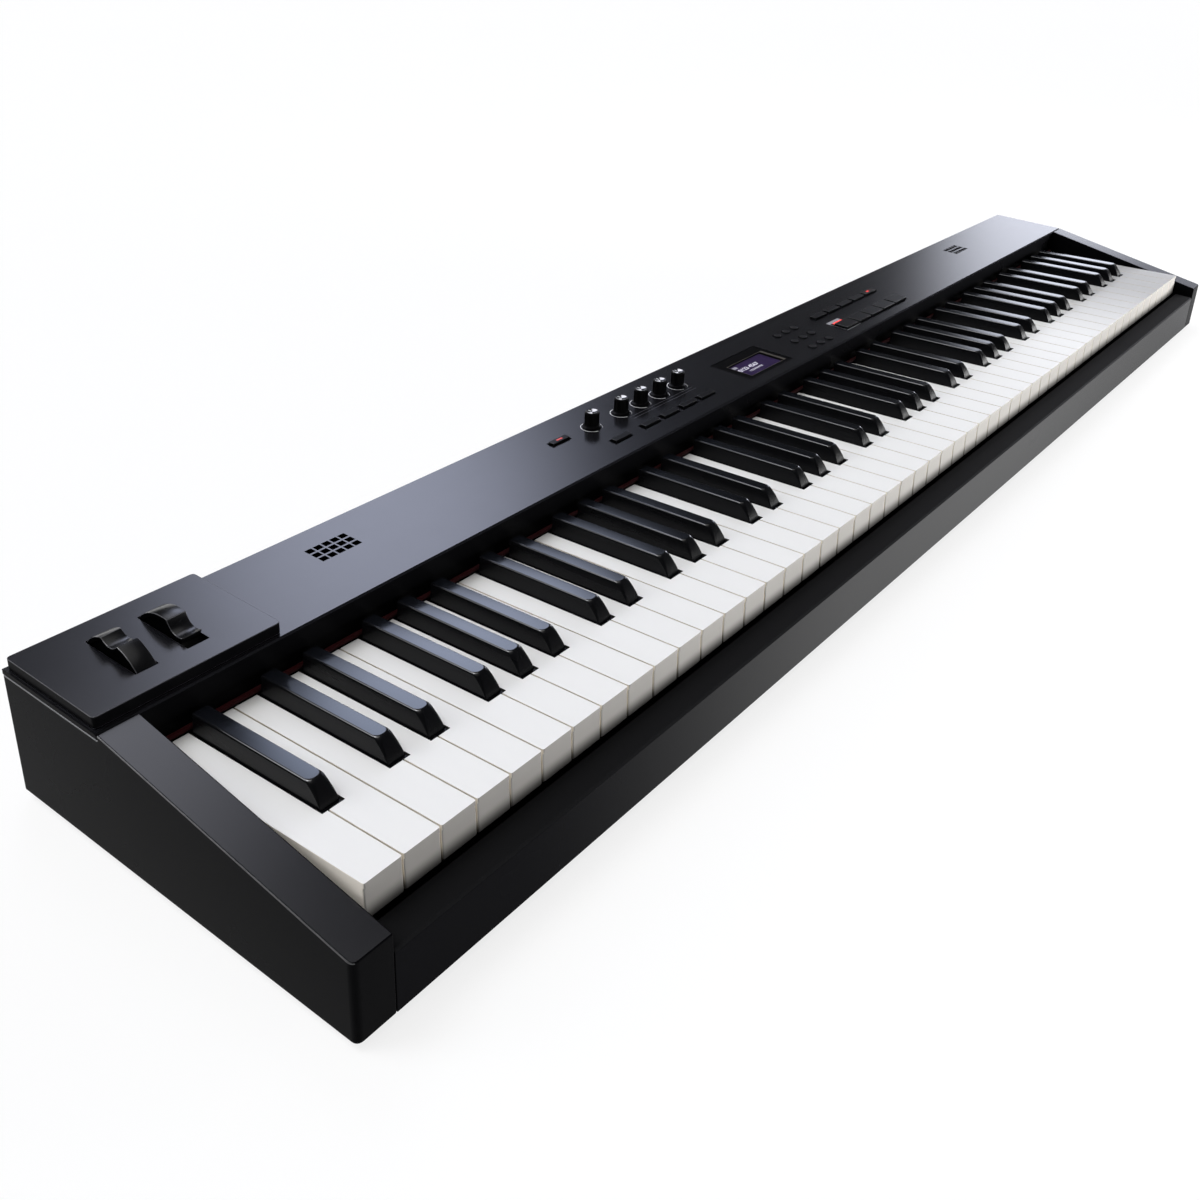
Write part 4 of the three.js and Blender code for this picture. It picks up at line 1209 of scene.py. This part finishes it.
def addFigures(name, line, x, y, z):
    curve = bpy.data.curves.new(name, "FONT")
    curve.body = line["figures"]
    curve.size = line["size"] * mm
    curve.extrude = displayLook["figureDepth"] / 2 * mm
    curve.offset = displayLook["figureWeight"] * mm
    text = addPiece(name, curve)
    graph = bpy.context.evaluated_depsgraph_get()
    mesh = bpy.data.meshes.new_from_object(text.evaluated_get(graph))
    bpy.data.objects.remove(text)
    mesh.transform(Matrix.Translation((x, y, z + curve.extrude)))
    addTrim(name, mesh, "screenFigure", "display_module")


def dressDisplay():
    look = displayLook
    low, high = boxOf("display_module")
    glassTop = boxOf("display_window")[1].z
    x, y = ((low[k] + look["margin"] * mm, high[k] - look["margin"] * mm) for k in (0, 1))
    work = meshOfNode("display_window")
    for normal, limits in (((1, 0, 0), x), ((0, 1, 0), y)):
        for limit in limits:
            cutAt(work, [part * limit for part in normal], normal)
    piece = addPiece("display_window_skin", meshFrom("display_window", work), "glossBlack")
    paint(piece, "lensGlass", lambda face: x[0] < face.center.x < x[1] and y[0] < face.center.y < y[1])
    dress(piece, "display_window")
    top = high.z + look["screenLift"] * mm
    screen = boxMesh("screen", x, y, (high.z - look["screenDepth"] * mm, top))
    addTrim("display_screen", screen, "screenGlow", "display_module")
    left, rear, width, height = (look["block"][key] * mm for key in ("x", "y", "width", "height"))
    icon = boxMesh("icon", (x[0] + left, x[0] + left + width), (y[1] - rear - height, y[1] - rear),
                   (top, top + look["figureDepth"] * mm))
    addTrim("display_icon", icon, "screenPale", "display_module")
    for i, line in enumerate(look["lines"]):
        addFigures(f"display_figures_{i}", line, x[0] + line["x"] * mm, y[1] - line["y"] * mm, top)
    wide, narrow, apart = (look[key] * mm for key in ("borderRight", "border", "borderGap"))
    outer = [(x[0] - narrow, y[0] - narrow), (x[1] + wide, y[0] - narrow),
             (x[1] + wide, y[1] + narrow), (x[0] - narrow, y[1] + narrow)]
    inner = [(x[0], y[0]), (x[1] + apart, y[0]), (x[1] + apart, y[1]), (x[0], y[1])]
    border = bandMesh("border", outer, inner, (
        glassTop - look["borderSunk"] * mm, glassTop + look["borderRise"] * mm))
    addTrim("display_border", border, "glassEdge", "display_window")


dressDisplay()
print("display ready")

# Printed lines, black bands painted round the buttons and grille holes as shadow in their gaps, and
# lights
printSizes = {
    "sunk": 0.08,
    "rise": 0.03,
    "lightSunk": 0.1,
    "lightRise": 0.04,
    "roundRadius": 3.4,
    "roundSides": 24,
    "roundGap": 1.0,
    "grilleHole": (4.0, 4.0),
    "grilleGap": (0.55, 0.36),
    "clear": 0.1,
    "ringRadius": 8.1,
    "ringWidth": 0.42,
    "ringOpen": (256, 304),
    "ringSteps": 48,
}
powerPlace = (powerMiddle, 98.15)
controlPlaces = {
    "power": {"places": [powerPlace], "size": (17.8, 5.0), "gap": 1.2},
    "slim": {"places": [(x, 68.65) for x in knobMiddles], "size": (18.0, 5.0), "gap": 1.3},
    "row": {"places": [(x, 98.65) for x in padMiddles], "size": (21.0, 6.4), "gap": 1.3},
    "pad": {"places": [(x, 68.35) for x in padMiddles], "size": (22.0, 13.4), "gap": 1.5},
}
roundPlaces = [(x, y) for x in roundMiddles for y in (61.65, 80.15, 98.65)]
grillePlaces = [(x, 100.65 + 6.25 * row) for x in grilleMiddles for row in (-1, 0, 1)]
knobPlaces = [(x, 96.65) for x in knobMiddles]
panelPrints = {
    "bracket_line_0": ((-173.6, -91.3), (82.9, 83.4), "printGrey"),
    "bracket_line_1": ((-173.6, -91.3), (86.4, 86.9), "printGrey"),
    "pad_line_front": ((121.6, 147.0), (59.7, 60.15), "printPale"),
    "pad_line_left": ((121.6, 122.05), (60.15, 79.2), "printPale"),
    "pad_line_right": ((146.55, 147.0), (60.15, 76.0), "printPale"),
    "pad_block": ((121.6, 143.0), (79.2, 83.1), "printPale"),
    "pad_light": ((126.0, 142.7), (75.9, 79.0), "lightRed"),
}
buttonLights = {
    "power_light": {"node": "power_button", "place": powerPlace, "size": (6.0, 1.5),
                    "finish": "lightDim"},
    "row_light": {"node": "row_buttons", "place": (232.5, 98.65), "size": (4.6, 2.0),
                  "finish": "lightRed"},
}
flatRise = (-printSizes["sunk"] * mm, printSizes["rise"] * mm)


def boxPoints(size, margin=0):
    halfX, halfY = (part / 2 + margin for part in size)
    return [(px * mm, py * mm) for px, py in (
        (-halfX, -halfY), (halfX, -halfY), (halfX, halfY), (-halfX, halfY))]


def arcPoints(radius, first, last, steps):
    turns = [math.radians(first + (last - first) * step / steps) for step in range(steps + 1)]
    return [(radius * mm * math.cos(turn), radius * mm * math.sin(turn)) for turn in turns]


def printCopies(name, outer, inner, places, finish="gapBlack", closed=True):
    mesh = bandMesh(name, outer, inner, flatRise, closed)
    piece = copiesOf(name, mesh, finish, [(x * mm, y * mm, panelTop) for x, y in places])
    dress(piece, "top_panel", replace=False)


def printFlat(name, x, y, z, finish, node):
    mesh = boxMesh(name, [value * mm for value in x], [value * mm for value in y], z)
    addTrim(name, mesh, finish, node)


def addPrints():
    size = printSizes
    clear = size["clear"]
    for name, item in controlPlaces.items():
        printCopies(f"{name}_gaps", boxPoints(item["size"], item["gap"]), boxPoints(item["size"], clear),
                    item["places"])
    steps = size["roundSides"] - 1
    outer, inner = (arcPoints(size["roundRadius"] + margin, 0, 360 * steps / (steps + 1), steps)
                    for margin in (size["roundGap"], clear))
    printCopies("round_gaps", outer, inner, roundPlaces)
    around = [hole + 2 * gap for hole, gap in zip(size["grilleHole"], size["grilleGap"])]
    printCopies("grille_gaps", boxPoints(around), boxPoints(size["grilleHole"]), grillePlaces)
    start, end = size["ringOpen"]
    outer, inner = (arcPoints(size["ringRadius"] + width, end - 360, start, size["ringSteps"])
                    for width in (size["ringWidth"], 0))
    printCopies("knob_arcs", outer, inner, knobPlaces, "printRing", closed=False)
    flat = [panelTop + height for height in flatRise]
    for name, (x, y, finish) in panelPrints.items():
        printFlat(name, x, y, flat, finish, "top_panel")
    for name, item in buttonLights.items():
        top = boxOf(item["node"])[1].z + capLift[item["node"]] * mm
        x, y = ((middle - part / 2, middle + part / 2)
                for middle, part in zip(item["place"], item["size"]))
        raised = (top - size["lightSunk"] * mm, top + size["lightRise"] * mm)
        printFlat(name, x, y, raised, item["finish"], item["node"])


addPrints()
print("panel print ready")

# Rear sockets: bright sleeves in the round jacks, shells and tongues in the others
socketSizes = {
    "z": 34.0,
    "sunk": 0.1,
    "depth": 2.4,
    "rounding": (0.15, 0.1),
    "jack": (4.0, 2.75),
    "inlet": (3.9, 3.05),
    "pin": (0.9, 0.27),
    "tongueSunk": 0.3,
    "shell": 0.7,
    "square": (8.4, 7.6),
    "squareTongue": (5.0, 3.2),
    "flat": (12.4, 5.0),
    "flatTongue": (9.0, 1.6),
}
uprightTurn = Matrix.Rotation(math.radians(-90), 4, "X")


def sleeveMesh(name, sides=32):
    outer, inner = socketSizes[name]
    inwards, down = socketSizes["rounding"]
    depth = socketSizes["depth"]
    profile = [(inner, depth), (outer, depth), (outer, down), (outer - inwards, 0),
               (inner + inwards, 0), (inner, down)]
    return turnedMesh(name, [(radius, -z * mm) for radius, z in profile], sides, closed=True)


def addSockets():
    size = socketSizes
    depth = size["depth"] * mm
    face = panelHigh.y - (rearInset + size["sunk"]) * mm
    turn = Matrix.Translation((0, face, 0)) @ uprightTurn
    places = [(x * mm, -size["z"] * mm, 0) for x in socketMiddles]
    sets = {
        "jack_sleeves": (sleeveMesh("jack"), "nutChrome", places[3:]),
        "inlet_sleeve": (sleeveMesh("inlet"), "socketBlack", places[:1]),
        "inlet_pin": (sleeveMesh("pin", 16), "nutChrome", places[:1]),
    }
    for name, place in (("square", places[1]), ("flat", places[2])):
        shell = bandMesh(name, boxPoints(size[name]), boxPoints(size[name], -size["shell"]), (-depth, 0))
        halfX, halfZ = (part / 2 * mm for part in size[f"{name}Tongue"])
        tongue = boxMesh(name, (-halfX, halfX), (-halfZ, halfZ), (-depth, -size["tongueSunk"] * mm))
        sets[f"{name}_shell"] = (shell, "nutChrome", [place])
        sets[f"{name}_tongue"] = (tongue, "socketBlack", [place])
    for name, values in sets.items():
        dress(smoothed(copiesOf(name, *values, turn), 35), "rear_panel", replace=False)


addSockets()
print("sockets ready")

# Feet: turned rubber pads with a rounded rim and a sunk screw
footSizes = {
    "foot": 14.0,
    "top": 15.7,
    "edge": 0.8,
    "sink": 5.0,
    "sinkDepth": 2.2,
    "sides": 48,
}


def dressFoot(node):
    size = footSizes
    low, high = boxOf(node)
    centre = ((low.x + high.x) / 2, (low.y + high.y) / 2)
    foot, edge, sink = size["foot"], size["edge"], size["sink"]
    rising = [(0, size["sinkDepth"]), (sink, size["sinkDepth"]), (sink, 0.3), (sink + 0.4, 0),
              (foot - edge, 0), (foot - 0.2, 0.25), (foot, edge)]
    profile = [(radius, low.z + z * mm) for radius, z in rising]
    profile += [(size["top"], high.z - 0.5 * mm), (size["top"], high.z), (0, high.z)]
    piece = addPiece(f"{node}_skin", turnedMesh(node, profile, size["sides"], centre), "footRubber")
    dress(smoothed(piece, 35), node)


for node in nodesWith("foot_"):
    dressFoot(node)

# Screws: pan heads with a cross recess
screwSizes = {
    "radius": 3.0,
    "rise": 0.9,
    "recess": 0.5,
    "arm": 1.7,
    "armWidth": 0.55,
    "shoulder": ((0.8, 1), (0.97, 0.7), (1, 0)),
    "rearFlatness": 0.4,
}
screwPlaces = {
    "under": [(x, y) for x in (-590, -420, -210, 0, 210, 420, 590) for y in (-112, 15, 110)],
    "rear": [(x, z) for x in (-600, -450, -310, -90, 80, 250, 420, 600) for z in (14, 66)],
    "foot": [(x, y) for x in (-548, 548) for y in (-90.75, 90.75)],
}


def screwMesh():
    size = screwSizes
    arm, half = size["arm"], size["armWidth"] / 2
    cross = [
        Matrix.Rotation(quarter * turn, 2) @ Vector(point)
        for turn in range(4) for point in ((half, -half), (arm, -half), (arm, half))
    ]
    cross.sort(key=lambda point: math.atan2(point.y, point.x))
    angles = [math.atan2(point.y, point.x) for point in cross]
    top = size["rise"]
    outlines = [(cross, top - size["recess"]), (cross, top)]
    for share, rise in size["shoulder"]:
        radius = size["radius"] * share
        circle = [(radius * math.cos(angle), radius * math.sin(angle)) for angle in angles]
        outlines.append((circle, top * rise))
    work = bmesh.new()
    rings = [[work.verts.new(Vector((*point, z)) * mm) for point in points] for points, z in outlines]
    return meshFrom("screw", loft(work, rings))


def addScrews():
    mesh = screwMesh()
    flip = Matrix.Rotation(math.pi, 4, "X")
    rear = (Matrix.Translation((0, panelHigh.y - rearInset * mm, 0)) @ uprightTurn
            @ Matrix.Diagonal((1, 1, screwSizes["rearFlatness"], 1)))
    under = Matrix.Translation((0, 0, boxOf("bottom_case")[0].z)) @ flip
    foot = Matrix.Translation((0, 0, footSizes["sinkDepth"] * mm)) @ flip
    for name, turn, node in (("under", under, "bottom_case"), ("rear", rear, "rear_panel"),
                             ("foot", foot, "foot_front_left")):
        places = [(x * mm, -y * mm, 0) for x, y in screwPlaces[name]]
        piece = copiesOf(f"screws_{name}", mesh, "screwSteel", places, turn)
        dress(smoothed(piece, 30), node, replace=False)


addScrews()
print("feet and screws ready")
